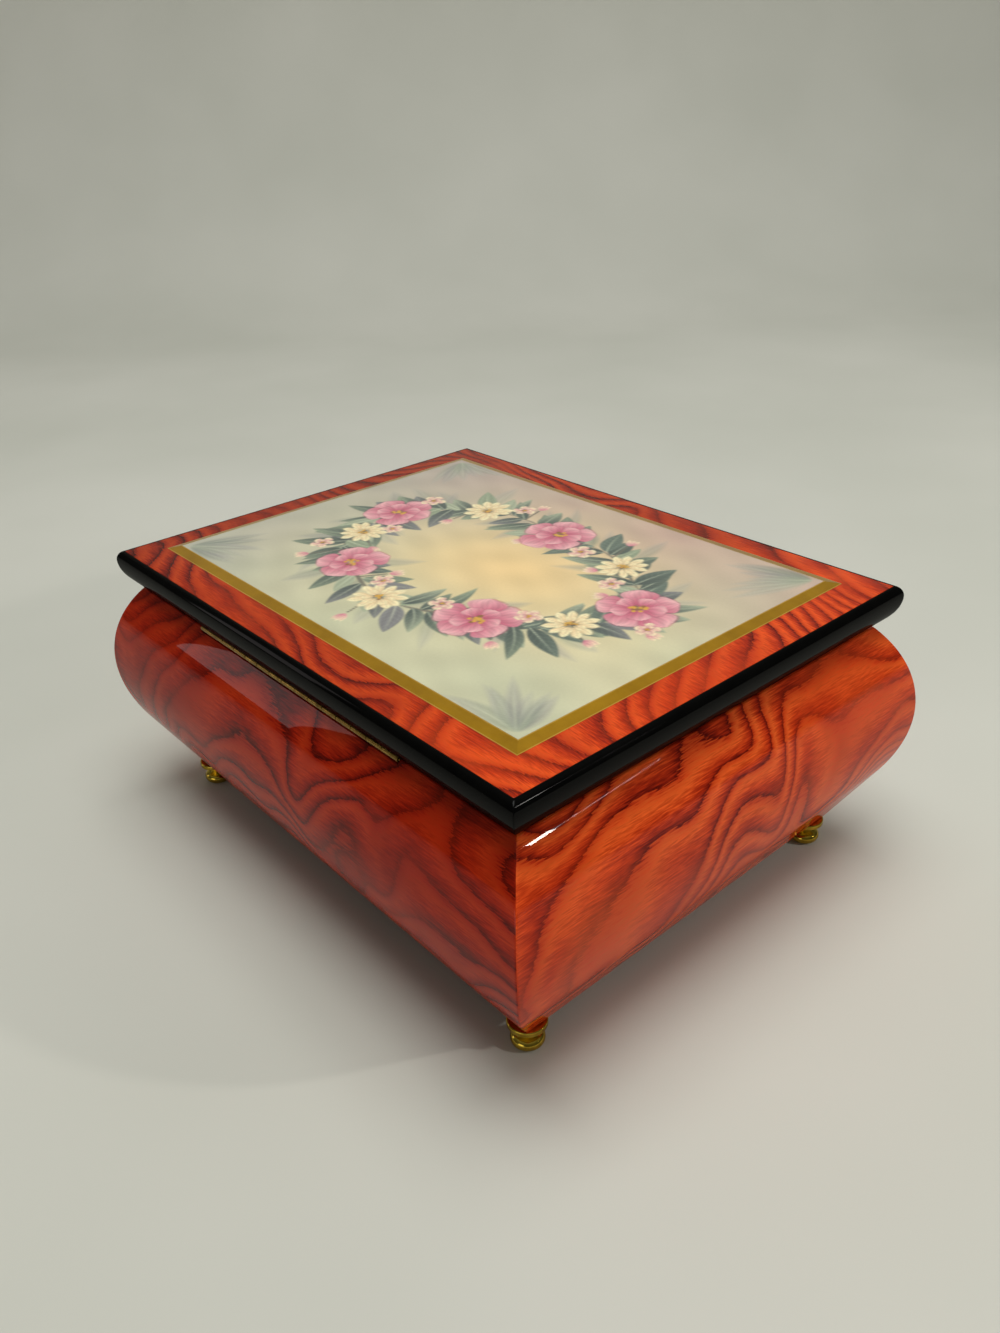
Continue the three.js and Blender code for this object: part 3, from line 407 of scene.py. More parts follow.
def velvetPile():
    # Rayon velvet: deep red pile, pale at a slant, with brushed patches; the pile is drawn at 0.4 mm to show
    material, tree, coords = newFinish("redVelvet", {
        "Roughness": 0.95, "Specular IOR Level": 0.1, "Sheen Weight": 0.55, "Sheen Roughness": 0.35,
        "Sheen Tint": linear("#D9606A")})
    brushed = addNode(tree, "TexNoise", {"Scale": perMetre(16), "Detail": 3.0, "Distortion": 0.8},
                      {"Vector": coords}).outputs["Fac"]
    pile = addNode(tree, "TexNoise", {"Scale": perMetre(0.4), "Detail": 2.0, "Roughness": 0.7},
                   {"Vector": coords}).outputs["Fac"]
    tone = addNode(tree, "ValToRGB", {}, {"Fac": brushed}, stops=[(0.3, "#560E18"), (0.72, "#7F1C28")])
    shade = addNode(tree, "MapRange", {"From Min": 0.3, "From Max": 0.7, "To Min": 0.72, "To Max": 1.18},
                    {"Value": pile})
    toned = addNode(tree, "Mix", {"Factor": 1.0}, {6: tone.outputs[0], 7: shade.outputs[0]},
                    data_type="RGBA", blend_type="MULTIPLY")
    bump = addNode(tree, "Bump", {"Strength": 0.5, "Distance": 0.0002}, {"Height": pile})
    return linkShader(material, {"Base Color": toned.outputs[2], "Normal": bump.outputs[0]})


def clearAcrylic():
    # Cast acrylic sheet: water clear, with a faint haze of fine wiping scratches
    material, tree, coords = newFinish("clearAcrylic", {
        "Transmission Weight": 1.0, "IOR": 1.49, "Base Color": linear("#F7FAFA")})
    place = addNode(tree, "Mapping", {"Rotation": (0, 0, 0.5), "Scale": grainSize(26, 0.6, 0.6)},
                    {"Vector": coords}).outputs[0]
    wiped = addNode(tree, "TexNoise", {"Scale": 1.0, "Detail": 3.0}, {"Vector": place}).outputs["Fac"]
    gloss = addNode(tree, "MapRange", {"From Min": 0.4, "From Max": 0.75, "To Min": 0.01, "To Max": 0.06},
                    {"Value": wiped})
    return linkShader(material, {"Roughness": gloss.outputs[0]})


def backdropPaper():
    # Seamless backdrop paper: matt, pale and very slightly mottled
    material, tree, coords = newFinish("backdropPaper", {
        "Roughness": 0.85, "Specular IOR Level": 0.2})
    cloud = addNode(tree, "TexNoise", {"Scale": perMetre(260), "Detail": 3.0},
                    {"Vector": coords}).outputs["Fac"]
    tone = addNode(tree, "ValToRGB", {}, {"Fac": cloud}, stops=[(0.3, "#C3C2B9"), (0.7, "#CDCBC3")])
    return linkShader(material, {"Base Color": tone.outputs[0]})


finishes = {
    # the long walls' sheet carries painted shade in its darker tones
    "veneerLongShaded": burlVeneer(  # sheet, flow, line spacing, bend, fibre size in mm, its tilt, place
        "long", (0.3, 0.2, 0.93), 11, 30, (5, 0.36, 0.36), (0, 0.35, 0), (0.31, 0.04, 0.17)),
    "veneerShort": burlVeneer(
        "short", (0.2, 0.42, 0.88), 11, 30, (0.36, 5, 0.36), (0.4, 0, 0), (0.06, 0.52, 0.09)),
    # the lid's sheet takes a painted shade along its length
    "veneerLid": burlVeneer(
        "lid", (0.2, 0.95, 0.2), 8, 16, (5, 0.36, 0.36), (0, 0, 0.2), (0.74, 0.23, 0.4), lidPaintedShade),
    "black": blackLacquer(),
    "goldBand": goldInlay("goldInlay", "#926A08", "#B08414", 0.42),
    "goldLine": goldInlay("goldInlayLine", "#B98A30", "#D0A44A", 0.3),
    "brass": polishedBrass("polishedBrass", "#947A22", "#D2B446", 0.14),
    # a darker brass for the hinge than for the feet
    "hingeBrass": polishedBrass("darkHingeBrass", "#5F4A1A", "#9A7C3C", 0.24),
    "drumBrass": polishedBrass("drumBrass", "#A8842C", "#D8B65A", 0.24),
    "picture": printedPicture(),
    "steel": brushedSteel("brushedSteel", "#7F7F7C", "#B2B2AE", 0.28, (6, 0.3, 0.3)),
    "combSteel": brushedSteel("combSteel", "#8C8C8A", "#C6C6C3", 0.22, (0.3, 6, 0.3)),
    "cast": castPlate(),
    "wood": plainWood(),
    "velvet": velvetPile(),
    "clear": clearAcrylic(),
    "paper": backdropPaper(),
}
print("finishes made:", len(finishes))


# Case walls

caseSize = {
    "halfX": 100, "halfY": 76.5, "footHeight": 9, "footChamfer": 0.4, "caseTop": 80.8, "bellyRadius": 45,
    "bellyHeight": 50.5, "bellyOut": 9, "bellySteps": 72, "taper": math.radians(30), "rimEase": 0.8,
    "rimSteps": 6, "inside": -16, "cornerRound": 0.65, "roundFrom": -14,
}
hingeRecess = {  # low and high corners of the pockets that the hinge is let into
    "wall": ((-53.1, 64.4, 79.7), (53.1, 90, 83)), "lid": ((-53.1, 64.4, 80), (53.1, 90, 81.9)),
}


def arc(centreOut, centreZ, radiusOut, radiusZ, start, end, steps):
    angles = [start + (end - start) * i / steps for i in range(steps + 1)]
    return [(centreOut + radiusOut * math.cos(a), centreZ + radiusZ * math.sin(a)) for a in angles]


def rectangleLevels(section):  # (out, z) section points to (half x, half y, z) levels
    return [(caseSize["halfX"] + out, caseSize["halfY"] + out, z) for out, z in section]


def rectangleStart(name, level):
    height = level[2] * mm
    piece = beginPiece(name, bpy.ops.mesh.primitive_plane_add, size=2 * mm, location=(0, 0, height))
    bpy.ops.transform.resize(value=(level[0], level[1], 1), center_override=(0, 0, height))
    return piece


def frameShell(name, section):  # a closed mitred frame with this section
    levels = rectangleLevels(section + section[:1])
    piece = rectangleStart(name, levels[0])
    bpy.ops.mesh.delete(type="ONLY_FACE")
    selectAll()
    stackLevels(levels)
    closeShell()
    return piece


def roundCorners(piece, size):  # eases the upright mitre edges that lie further out than roundFrom
    def isCornerEdge(edge):
        a, b = (v.co for v in edge.verts)
        sameCorner = a.x * b.x > 0 and a.y * b.y > 0
        return sameCorner and min(abs(a.x), abs(b.x)) > (caseSize["halfX"] + size["roundFrom"]) * mm
    pick(piece, "edges", isCornerEdge)
    bpy.ops.mesh.bevel(offset=size["cornerRound"] * mm, offset_type="OFFSET", segments=4, profile=0.5,
                       affect="EDGES", clamp_overlap=False)


def wallSection():
    size = caseSize
    foot, ease, radius = size["footHeight"], size["rimEase"], size["bellyRadius"]
    centreOut = size["bellyOut"] - radius
    easeCentre = radius - ease  # the rim's rounding runs on from the belly
    topAngle = math.asin((size["caseTop"] - ease - size["bellyHeight"]) / easeCentre)
    belly = arc(centreOut, size["bellyHeight"], radius, radius, -size["taper"], topAngle, size["bellySteps"])
    footOut = belly[0][0] - math.tan(size["taper"]) * (belly[0][1] - foot)
    rim = arc(centreOut + easeCentre * math.cos(topAngle), size["caseTop"] - ease, ease, ease,
              topAngle, math.pi / 2, size["rimSteps"])
    under = [(size["inside"], foot), (footOut - size["footChamfer"], foot),
             (footOut, foot + size["footChamfer"])]
    return under + belly + rim[1:] + [(size["inside"], size["caseTop"])]


def mitreCut(corner, normal):
    selectAll()
    bpy.ops.mesh.bisect(plane_co=(corner[0] * mm, corner[1] * mm, 0), plane_no=normal, use_fill=True,
                        clear_outer=True, clear_inner=False)


def isInside(face):  # an upright face that looks towards the middle
    return abs(face.normal.z) < 0.1 and face.normal.dot(face.calc_center_median()) < 0


def secondFinish(piece, first, second):  # the picked faces get the second one
    piece.data.materials.append(finishes[first])
    piece.data.materials.append(finishes[second])
    piece.active_material_index = 1
    bpy.ops.object.material_slot_assign()
    objectMode()


def makeWalls():
    shell = frameShell("caseShell", wallSection())
    roundCorners(shell, caseSize)
    pick(shell, "faces", isInside)
    secondFinish(shell, "veneerLongShaded", "wood")  # the inside is left as bare wood
    x, y = caseSize["halfX"], caseSize["halfY"]
    walls = {  # the two corners, the mitre planes through them, and the veneer
        "wall_front": ((x, -y), (-x, -y), (1, 1, 0), (-1, 1, 0), "veneerLongShaded"),
        "wall_back": ((x, y), (-x, y), (1, -1, 0), (-1, -1, 0), "veneerLongShaded"),
        "wall_left": ((-x, y), (-x, -y), (1, 1, 0), (1, -1, 0), "veneerShort"),
        "wall_right": ((x, y), (x, -y), (-1, 1, 0), (-1, -1, 0), "veneerShort"),
    }
    for node, (cornerA, cornerB, normalA, normalB, finish) in walls.items():
        makeActive(shell)
        bpy.ops.object.duplicate()
        wall = bpy.context.object
        wall.name = node.replace("wall_", "veneeredWall.")
        editMode()
        mitreCut(cornerA, normalA)
        mitreCut(cornerB, normalB)
        objectMode()
        if node == "wall_back":
            cutWithBlock(wall, *hingeRecess["wall"])
        shadeByAngle(wall)
        wall.data.materials[0] = finishes[finish]
        settle(wall, None, "case", "burl_veneer", node)
    bpy.data.objects.remove(shell)
    print("walls made")


makeWalls()


# Lid

lidSize = {
    "bottom": 81, "boardTop": 93.2, "edge": 94.5, "bandLow": 95.4, "top": 96.3, "nose": 2.5, "underRound": 10,
    "underSteps": 28, "noseSteps": 20, "cornerRound": 0.3, "roundFrom": -8,
    "bandInset": 10.8, "bandWidth": 3.9, "lineWidth": 0.3, "lineSlack": 0.1, "gap": 0.05,
}
veneerSize = {"edgeEase": 0.2, "edgeSteps": 4, "cornerRound": 0.3, "roundFrom": -4}


def makeLidBoard():
    size = lidSize
    under = size["underRound"]
    middle = size["bottom"] + under
    underside = arc(size["nose"] - under, middle, under, under, -math.pi / 2, 0, size["underSteps"])
    nose = arc(0, middle, size["nose"], size["edge"] - middle, 0, math.pi / 2, size["noseSteps"])
    levels = rectangleLevels(underside + nose[1:] + [(0, size["boardTop"])])
    board = rectangleStart("lacqueredLidBoard", levels[0])
    stackLevels(levels)
    closeShell()
    roundCorners(board, size)
    objectMode()
    cutWithBlock(board, *hingeRecess["lid"])
    shadeByAngle(board)
    settle(board, "black", "lid", "black_lacquer", "lid_board")


def makeLidVeneer():
    size = lidSize
    low, ease, inset = size["boardTop"] + size["gap"], veneerSize["edgeEase"], -size["bandInset"]
    eased = arc(-size["gap"] - ease, size["edge"] - ease, ease, ease, 0, math.pi / 2, veneerSize["edgeSteps"])
    veneer = frameShell("lidVeneer", [(inset, low), (-size["gap"], low)] + eased + [(inset, size["bandLow"])])
    roundCorners(veneer, veneerSize)
    objectMode()
    shadeByAngle(veneer)
    settle(veneer, "veneerLid", "lid", "burl_veneer", "lid_veneer")


def makeGoldBand():
    size = lidSize
    line, low = size["lineWidth"], size["boardTop"] + size["gap"]
    outer = -size["bandInset"] - size["gap"]
    inner = -size["bandInset"] - size["bandWidth"] + size["gap"]
    step = (size["top"] - size["bandLow"]) * line / size["bandWidth"]
    band = frameShell("goldBand", [
        (inner, low), (outer, low), (outer, size["bandLow"]), (outer - line, size["bandLow"] + step),
        (inner + line, size["top"] - step), (inner, size["top"])])
    middle = caseSize["halfX"] + (outer + inner) / 2

    def isLine(face):  # a narrow strip of the top, away from the band's middle
        across = [abs(v.co.x) / mm for v in face.verts]
        away = min(abs(x - middle) for x in across) > size["bandWidth"] / 2 - line - size["lineSlack"]
        return face.normal.z > 0.9 and away and max(across) - min(across) < 2 * line
    pick(band, "faces", isLine)
    secondFinish(band, "goldBand", "goldLine")
    settle(band, None, "lid", "gold_inlay", "lid_gold_band")


makeLidBoard()
makeLidVeneer()
makeGoldBand()
print("lid made")


# Lid picture: a generic garland painted into the panel's colour layer

pictureLook = {  # sizes in mm, turns in radians
    "halfU": 85.3, "halfV": 61.8, "pitch": 0.47, "seed": 11, "ring": (57, 36),
    "ringWaves": ((0.05, 3, 0.6), (0.03, 7, 0.0)),  # strength, waves round the ring, phase
    "sage": "#C4C3A4", "cream": "#DCD0AA", "glow": "#F1CC90", "mauve": "#C09890", "lilac": "#A9A39E",
    "leafTones": ["#5E6C62", "#76826F", "#8F9A80", "#A3AA90", "#7C7A7C"], "leafDark": "#3F4B48",
    "rib": "#C9CCAF", "twig": "#6A6458", "pink": "#B23A5E", "pinkEdge": "#EAAEB2", "creamPetal": "#F6E9BC",
    "creamDeep": "#E3B98A", "pollen": "#D9A23A", "pollenDark": "#8A5A2A", "budPink": "#D2788E",
    "ground": {
        "waves": 9, "waveSizes": (0.6, 1.7), "mauveRise": (-5, 57), "lilacRise": (10, 90),
        "washes": {  # cover, clouded share of it, size of the clouds, seed
            "cream": (0.7, 1.0, 70, 1), "mauve": (0.75, 0.25, 60, 2), "lilac": (0.7, 0.3, 45, 3)},
        "glowPlace": (10, 4), "glowReach": (46, 32), "glowCover": 0.95,
        "mottle": 0.06, "mottleSize": 14, "mottleSeed": 4,
    },
    "farLeaf": {
        "count": 58, "wander": (-0.05, 0.05), "turn": (0.5, 1.4), "swell": (0.92, 1.1),
        "length": (15, 25), "width": (6, 9), "bulge": 0.85, "soft": 2.4, "bend": (-0.25, 0.25),
        "ribbed": False, "opacity": 0.42,
    },
    "spray": {
        "inset": 0.97, "slope": 0.8, "fan": (-0.62, 0.55, -0.4, 0.34, -0.18, 0.12, 0.0),
        "length": (20, 30), "width": (6, 8), "bulge": 0.75, "soft": 1.8, "bend": (-0.2, 0.2),
        "ribbed": True, "opacity": 0.5,
    },
    "stem": {"spots": 360, "width": 0.9, "least": 0.6, "swell": 0.25, "swells": 9, "opacity": 0.8},
    "leaf": {
        "count": 116, "wander": (-0.04, 0.04), "turn": (0.45, 1.15), "swell": (0.97, 1.03), "darkShare": 0.6,
        "length": (13, 21), "width": (5.5, 8.0), "bulge": 0.8, "soft": 0.7, "bend": (-0.1, 0.3),
        "ribbed": True, "opacity": 1.0,
    },
    "bud": {
        "count": 16, "wander": (-0.12, 0.12), "turn": (0.8, 1.5), "size": (5.5, 3.0), "bulge": 0.9,
        "fan": (-0.35, 0.35, 0.0), "stalk": (9, 15), "stalkSpots": 12, "stalkWidth": 0.4,
    },
    "petal": {
        "layers": ((0, 1.0), (0.5, 0.62)),  # turn in petals, size
        "wander": (-0.1, 0.1), "length": (0.92, 1.06), "bend": (-0.08, 0.08), "bulge": 1.9, "soft": 0.6,
        "shadow": (1.03, 1.08, 0.35), "shadowSoft": 0.9,  # longer, wider, opacity
    },
    "stamen": {"count": 14, "dark": 5, "reach": (0.03, 0.2), "size": 0.05},  # shares of the blossom's size
}
blossoms = [  # count, first angle, wander, in or out of the ring, sizes, petals, deep, edge, petal width
    (5, 54, 0.08, (1.0,), (8.5, 9.5), 11, "creamDeep", "creamPetal", 0.42),
    (5, 18, 0.08, (0.98,), (12, 13.5), 5, "pink", "pinkEdge", 0.95),
    (10, 0, 0.1, (0.84, 1.17), (4, 5.2), 5, "budPink", "creamPetal", 0.85),
]
brushLook = {
    "reach": 1.2, "tipPower": 0.8, "sideMix": 0.22, "streaks": ((0.04, 9, 5), (0.03, 23, -11)),
    "ribStrength": 0.6, "ribWidth": 0.34, "ribEnd": 1.15,
    "veinStrength": 0.22, "veins": 7.5, "veinSlant": 1.3, "veinFloor": 0.55,
}
fullTurn = 2 * math.pi


def shade(hexText):  # sRGB values for mixing paint
    return np.array([int(hexText[i:i + 2], 16) / 255 for i in (1, 3, 5)])


def wash(canvas, size, seed):  # soft clouding between 0 and 1, about size mm across
    ground = pictureLook["ground"]
    draw = random.Random(seed)
    total = np.zeros_like(canvas["u"])
    for _ in range(ground["waves"]):
        angle, phase = draw.uniform(0, fullTurn), draw.uniform(0, fullTurn)
        pace = fullTurn / (size * draw.uniform(*ground["waveSizes"]))
        total += np.sin(pace * (canvas["u"] * math.cos(angle) + canvas["v"] * math.sin(angle)) + phase)
    return np.clip(0.5 + total / ground["waves"], 0, 1)


def rise(row, begin, full):  # from 0 to 1 between two places
    return np.clip((row - begin) / (full - begin), 0, 1)


def tintAll(canvas, cover, hexText):
    canvas["rgb"] += cover[:, None] * (shade(hexText) - canvas["rgb"])


def brush(canvas, place, angle, length, width, colours, bulge, soft=0.7, bend=0.0, rib=None, opacity=1.0):
    look = brushLook
    du, dv = canvas["u"] - place[0], canvas["v"] - place[1]
    near = np.nonzero((np.abs(du) < length * look["reach"]) & (np.abs(dv) < length * look["reach"]))[0]
    along = (du[near] * math.cos(angle) + dv[near] * math.sin(angle)) / length
    across = dv[near] * math.cos(angle) - du[near] * math.sin(angle) - bend * length * along ** 2
    half = width / 2 * np.sin(math.pi * np.clip(along, 0, 1) ** bulge) ** look["tipPower"] + 1e-6
    cover = np.clip((half - np.abs(across)) / soft, 0, 1) * opacity
    inside = cover > 0
    near, along, across, half, cover = (row[inside] for row in (near, along, across, half, cover))
    side = np.clip(across / half, -1, 1)
    base, tip = shade(colours[0]), shade(colours[1])
    mix = np.clip(along + look["sideMix"] * side, 0, 1)[:, None]
    rgb = base + mix * (tip - base)
    streak = sum(strength * np.sin(side * wide + along * far) for strength, wide, far in look["streaks"])
    rgb = rgb * (1 + streak[:, None])
    if rib:
        ribFade = np.clip(look["ribEnd"] - along, 0, 1)
        line = look["ribStrength"] * np.exp(-(across / look["ribWidth"]) ** 2) * ribFade
        wave = np.sin((along * look["veins"] - np.abs(side) * look["veinSlant"]) * fullTurn)
        veins = look["veinStrength"] * (np.clip(wave, look["veinFloor"], 1) - look["veinFloor"])
        rgb = rgb + (line + veins)[:, None] * (shade(rib) - rgb)
    canvas["rgb"][near] += cover[:, None] * (rgb - canvas["rgb"][near])


def spot(canvas, place, radius, hexText, soft=0.5, opacity=1.0):
    du, dv = canvas["u"] - place[0], canvas["v"] - place[1]
    near = np.nonzero((np.abs(du) < radius + soft) & (np.abs(dv) < radius + soft))[0]
    cover = np.clip((radius - np.hypot(du[near], dv[near])) / soft + 0.5, 0, 1) * opacity
    canvas["rgb"][near] += cover[:, None] * (shade(hexText) - canvas["rgb"][near])


def pointAt(place, angle, reach):
    return (place[0] + reach * math.cos(angle), place[1] + reach * math.sin(angle))


def ringPoint(angle, swell=1.0):
    wave = 1
    for strength, count, phase in pictureLook["ringWaves"]:
        wave += strength * math.sin(count * angle + phase)
    halfU, halfV = pictureLook["ring"]
    return (halfU * swell * wave * math.cos(angle), halfV * swell * wave * math.sin(angle))


def ringTurn(angle, step=0.02):  # direction along the garland
    a, b = ringPoint(angle - step), ringPoint(angle + step)
    return math.atan2(b[1] - a[1], b[0] - a[0])


def paintGround(canvas):
    look, ground = pictureLook, pictureLook["ground"]
    u, v = canvas["u"], canvas["v"]
    canvas["rgb"][:] = shade(look["sage"])
    reach = {"cream": 1, "mauve": rise(v, *ground["mauveRise"]), "lilac": rise(-u, *ground["lilacRise"])}
    for colour, (cover, clouded, size, seed) in ground["washes"].items():
        cloud = 1 - clouded + clouded * wash(canvas, size, seed)
        tintAll(canvas, cover * reach[colour] * cloud, look[colour])
    (glowU, glowV), (reachU, reachV) = ground["glowPlace"], ground["glowReach"]
    glow = np.exp(-((u - glowU) / reachU) ** 2 - ((v - glowV) / reachV) ** 2)
    tintAll(canvas, ground["glowCover"] * glow, look["glow"])
    mottle = ground["mottle"] * (wash(canvas, ground["mottleSize"], ground["mottleSeed"]) - 0.5)
    canvas["rgb"] *= 1 + mottle[:, None]


def paintLeaf(canvas, draw, leaf, place, turn, colours, side=1):
    brush(canvas, place, turn, draw.uniform(*leaf["length"]), draw.uniform(*leaf["width"]), colours,
          leaf["bulge"], leaf["soft"], side * draw.uniform(*leaf["bend"]),
          pictureLook["rib"] if leaf["ribbed"] else None, leaf["opacity"])


def paintFadedLeaves(canvas, draw):
    look, far, spray = pictureLook, pictureLook["farLeaf"], pictureLook["spray"]
    for i in range(far["count"]):  # far behind the garland
        angle = fullTurn * i / far["count"] + draw.uniform(*far["wander"])
        turn = ringTurn(angle) + draw.choice((-1, 1)) * draw.uniform(*far["turn"])
        tone = draw.choice(look["leafTones"])
        place = ringPoint(angle, draw.uniform(*far["swell"]))
        paintLeaf(canvas, draw, far, place, turn, (tone, look["lilac"]))
    for side, end in ((-1, -1), (-1, 1), (1, -1), (1, 1)):  # in the corners
        foot = (side * look["halfU"] * spray["inset"], end * look["halfV"] * spray["inset"])
        inward = math.atan2(-end * spray["slope"], -side)
        for spread in spray["fan"]:
            tone = draw.choice(look["leafTones"])
            paintLeaf(canvas, draw, spray, foot, inward + spread, (tone, look["lilac"]))


def paintLeaves(canvas, draw):
    look, stem, leaf = pictureLook, pictureLook["stem"], pictureLook["leaf"]
    for i in range(stem["spots"]):
        angle = fullTurn * i / stem["spots"]
        radius = stem["width"] * (stem["least"] + stem["swell"] * math.sin(stem["swells"] * angle))
        spot(canvas, ringPoint(angle), radius, look["twig"], opacity=stem["opacity"])
    for i in range(leaf["count"]):  # on both sides of the stem
        angle = fullTurn * i / leaf["count"] + draw.uniform(*leaf["wander"])
        side = 1 if i % 2 else -1
        turn = ringTurn(angle) + side * draw.uniform(*leaf["turn"])
        tone = draw.choice(look["leafTones"])
        base = look["leafDark"] if draw.random() < leaf["darkShare"] else tone
        place = ringPoint(angle, draw.uniform(*leaf["swell"]))
        paintLeaf(canvas, draw, leaf, place, turn, (base, tone), side)


def paintBuds(canvas, draw):
    look, bud = pictureLook, pictureLook["bud"]
    for i in range(bud["count"]):
        angle = fullTurn * i / bud["count"] + draw.uniform(*bud["wander"])
        turn = ringTurn(angle) + draw.choice((-1, 1)) * draw.uniform(*bud["turn"])
        foot = ringPoint(angle)
        reach = draw.uniform(*bud["stalk"])
        for k in range(bud["stalkSpots"]):
            along = pointAt(foot, turn, reach * k / bud["stalkSpots"])
            spot(canvas, along, bud["stalkWidth"], look["twig"])
        for spread in bud["fan"]:
            brush(canvas, pointAt(foot, turn, reach), turn + spread, *bud["size"],
                  (look["budPink"], look["creamPetal"]), bud["bulge"])


def paintBlossom(canvas, draw, place, size, petals, deep, edge, width):
    look, petal, stamen = pictureLook, pictureLook["petal"], pictureLook["stamen"]
    longer, wider, faint = petal["shadow"]
    start = draw.uniform(0, fullTurn)
    for turned, shrink in petal["layers"]:
        for k in range(petals):
            turn = start + fullTurn * (k + turned) / petals + draw.uniform(*petal["wander"])
            length = size * shrink * draw.uniform(*petal["length"])
            brush(canvas, place, turn, length * longer, length * width * wider, (look["leafDark"], deep),
                  petal["bulge"], petal["shadowSoft"], opacity=faint)
            brush(canvas, place, turn, length, length * width, (deep, edge), petal["bulge"], petal["soft"],
                  bend=draw.uniform(*petal["bend"]))
    for k in range(stamen["count"]):
        angle, reach = draw.uniform(0, fullTurn), size * draw.uniform(*stamen["reach"])
        tone = look["pollenDark"] if k < stamen["dark"] else look["pollen"]
        spot(canvas, pointAt(place, angle, reach), size * stamen["size"], tone)


def paintBlossoms(canvas, draw):
    for count, first, wander, swells, sizes, petals, deep, edge, width in blossoms:
        for i in range(count):
            angle = math.radians(first + 360 / count * i) + draw.uniform(-wander, wander)
            swell = draw.choice(swells) if len(swells) > 1 else swells[0]
            paintBlossom(canvas, draw, ringPoint(angle, swell), draw.uniform(*sizes), petals,
                         pictureLook[deep], pictureLook[edge], width)


def paintPicture(u, v):
    canvas = {"u": u, "v": v, "rgb": np.zeros((len(u), 3))}
    draw = random.Random(pictureLook["seed"])
    paintGround(canvas)
    paintFadedLeaves(canvas, draw)
    paintLeaves(canvas, draw)
    paintBuds(canvas, draw)
    paintBlossoms(canvas, draw)
    return np.clip(canvas["rgb"], 0, 1)


def makePicture():
    look = pictureLook
    top = lidSize["top"] * mm
    depth = (lidSize["top"] - lidSize["boardTop"] - lidSize["gap"]) * mm
    columns, rows = (round(2 * half / look["pitch"]) for half in (look["halfU"], look["halfV"]))
    panel = beginPiece("printedPanel", bpy.ops.mesh.primitive_grid_add, x_subdivisions=columns,
                       y_subdivisions=rows, size=2 * mm, location=(0, 0, top))
    bpy.ops.transform.resize(value=(look["halfU"], look["halfV"], 1), center_override=(0, 0, top))
    pick(panel, "edges", lambda e: e.is_boundary)
    extrudeBy((0, 0, -depth))
    bpy.ops.mesh.edge_face_add()
    selectAll()
    bpy.ops.mesh.normals_make_consistent(inside=False)
    settle(panel, "picture", "lid", "picture_panel", "lid_picture")
    points = pointsOf(panel) / mm
    rgb = paintPicture(-points[:, 0], -points[:, 1])  # the picture stands upright seen from the hinged side
    rgb = np.where(rgb <= 0.04045, rgb / 12.92, ((rgb + 0.055) / 1.055) ** 2.4)
    layer = panel.data.color_attributes.new("paint", "FLOAT_COLOR", "POINT")
    layer.data.foreach_set("color", np.hstack([rgb, np.ones((len(rgb), 1))]).ravel())


makePicture()
print("picture painted")


# Feet

footSize = {
    "x": 87.7, "y": 64.2, "bead": 1.95, "beadOut": 3, "beadEnd": 0.42 * math.pi, "neck": 2.7, "neckLow": 4.5,
    "coveTop": 7.4, "flange": 5.8, "edge": 0.5, "top": 8.95, "sides": 72,
    "beadSteps": 24, "coveSteps": 16, "edgeSteps": 6,
}


def makeFeet():
    size = footSize
    ball, edge, flange = size["bead"], size["edge"], size["flange"]
    bead = arc(size["beadOut"], ball, ball, ball, -math.pi / 2, size["beadEnd"], size["beadSteps"])
    cove = arc(flange, size["neckLow"], size["neck"] - flange, size["coveTop"] - size["neckLow"],
               0, math.pi / 2, size["coveSteps"])
    lip = arc(flange - edge, size["top"] - edge, edge, edge, 0, math.pi / 2, size["edgeSteps"])
    levels = [(out, out, z) for out, z in bead + cove + lip]
    foot = beginPiece("turnedFoot", bpy.ops.mesh.primitive_circle_add, vertices=size["sides"],
                      radius=levels[0][0] * mm, fill_type="NGON", location=(0, 0, 0))
    stackLevels(levels)
    closeShell()
    objectMode()
    shadeByAngle(foot, degrees=40)
    for row, y in (("front", -size["y"]), ("back", size["y"])):
        for end, x in (("left", -size["x"]), ("right", size["x"])):
            copy = copyPiece(foot, "turnedFoot.%s.%s" % (row, end), (x, y, 0))
            settle(copy, "brass", "case", "polished_brass", "foot_%s_%s" % (row, end))
    bpy.data.objects.remove(foot)
    print("feet made")


makeFeet()


# Hinge

hingeSize = {
    "y": 73.8, "z": 80.8, "length": 106, "knuckles": 15, "radius": 1.0, "bore": 0.58, "pin": 0.45, "gap": 0.2,
    "leafBack": 64.5, "leafFront": 72.6, "tabEnd": 73.1, "tabLap": 0.4, "thickness": 0.85, "clearance": 0.15,
    "leafEase": 0.1, "tabEase": 0.08, "knuckleEase": 0.12, "pinEase": 0.22, "easeDegrees": 50,
    "screwRadius": 1.45, "screwProud": 0.05, "screwDeep": 0.3, "screwY": 68.4, "screwPitch": 22,
}
screwShape = {
    "sides": 40, "crown": 0.35, "slot": 0.42, "slotDepth": 0.55,
    "eachSide": 2, "firstTurn": 0.3, "nextTurn": 0.5,
    "shoulder": (0.9, 0.3), "face": (0.72, 0.0),  # share of the radius, and of the crown below the top
}


def softBlock(name, low, high, width, segments=2):  # a block with eased edges, corners in mm
    block = beginPiece(name, bpy.ops.mesh.primitive_cube_add, **blockPlace(low, high))
    objectMode()
    applyPlace()
    applyModifier(block, "BEVEL", width=width * mm, segments=segments, limit_method="ANGLE")
    return block


def hingeRod(name, radius, length, centre, sides, caps):  # a rod on the hinge's axis
    size = hingeSize
    rod = beginPiece(name, bpy.ops.mesh.primitive_cylinder_add, vertices=sides, radius=radius * mm,
                     depth=length * mm, end_fill_type=caps,
                     location=(centre * mm, size["y"] * mm, size["z"] * mm), rotation=(0, math.pi / 2, 0))
    objectMode()
    applyPlace()
    return rod


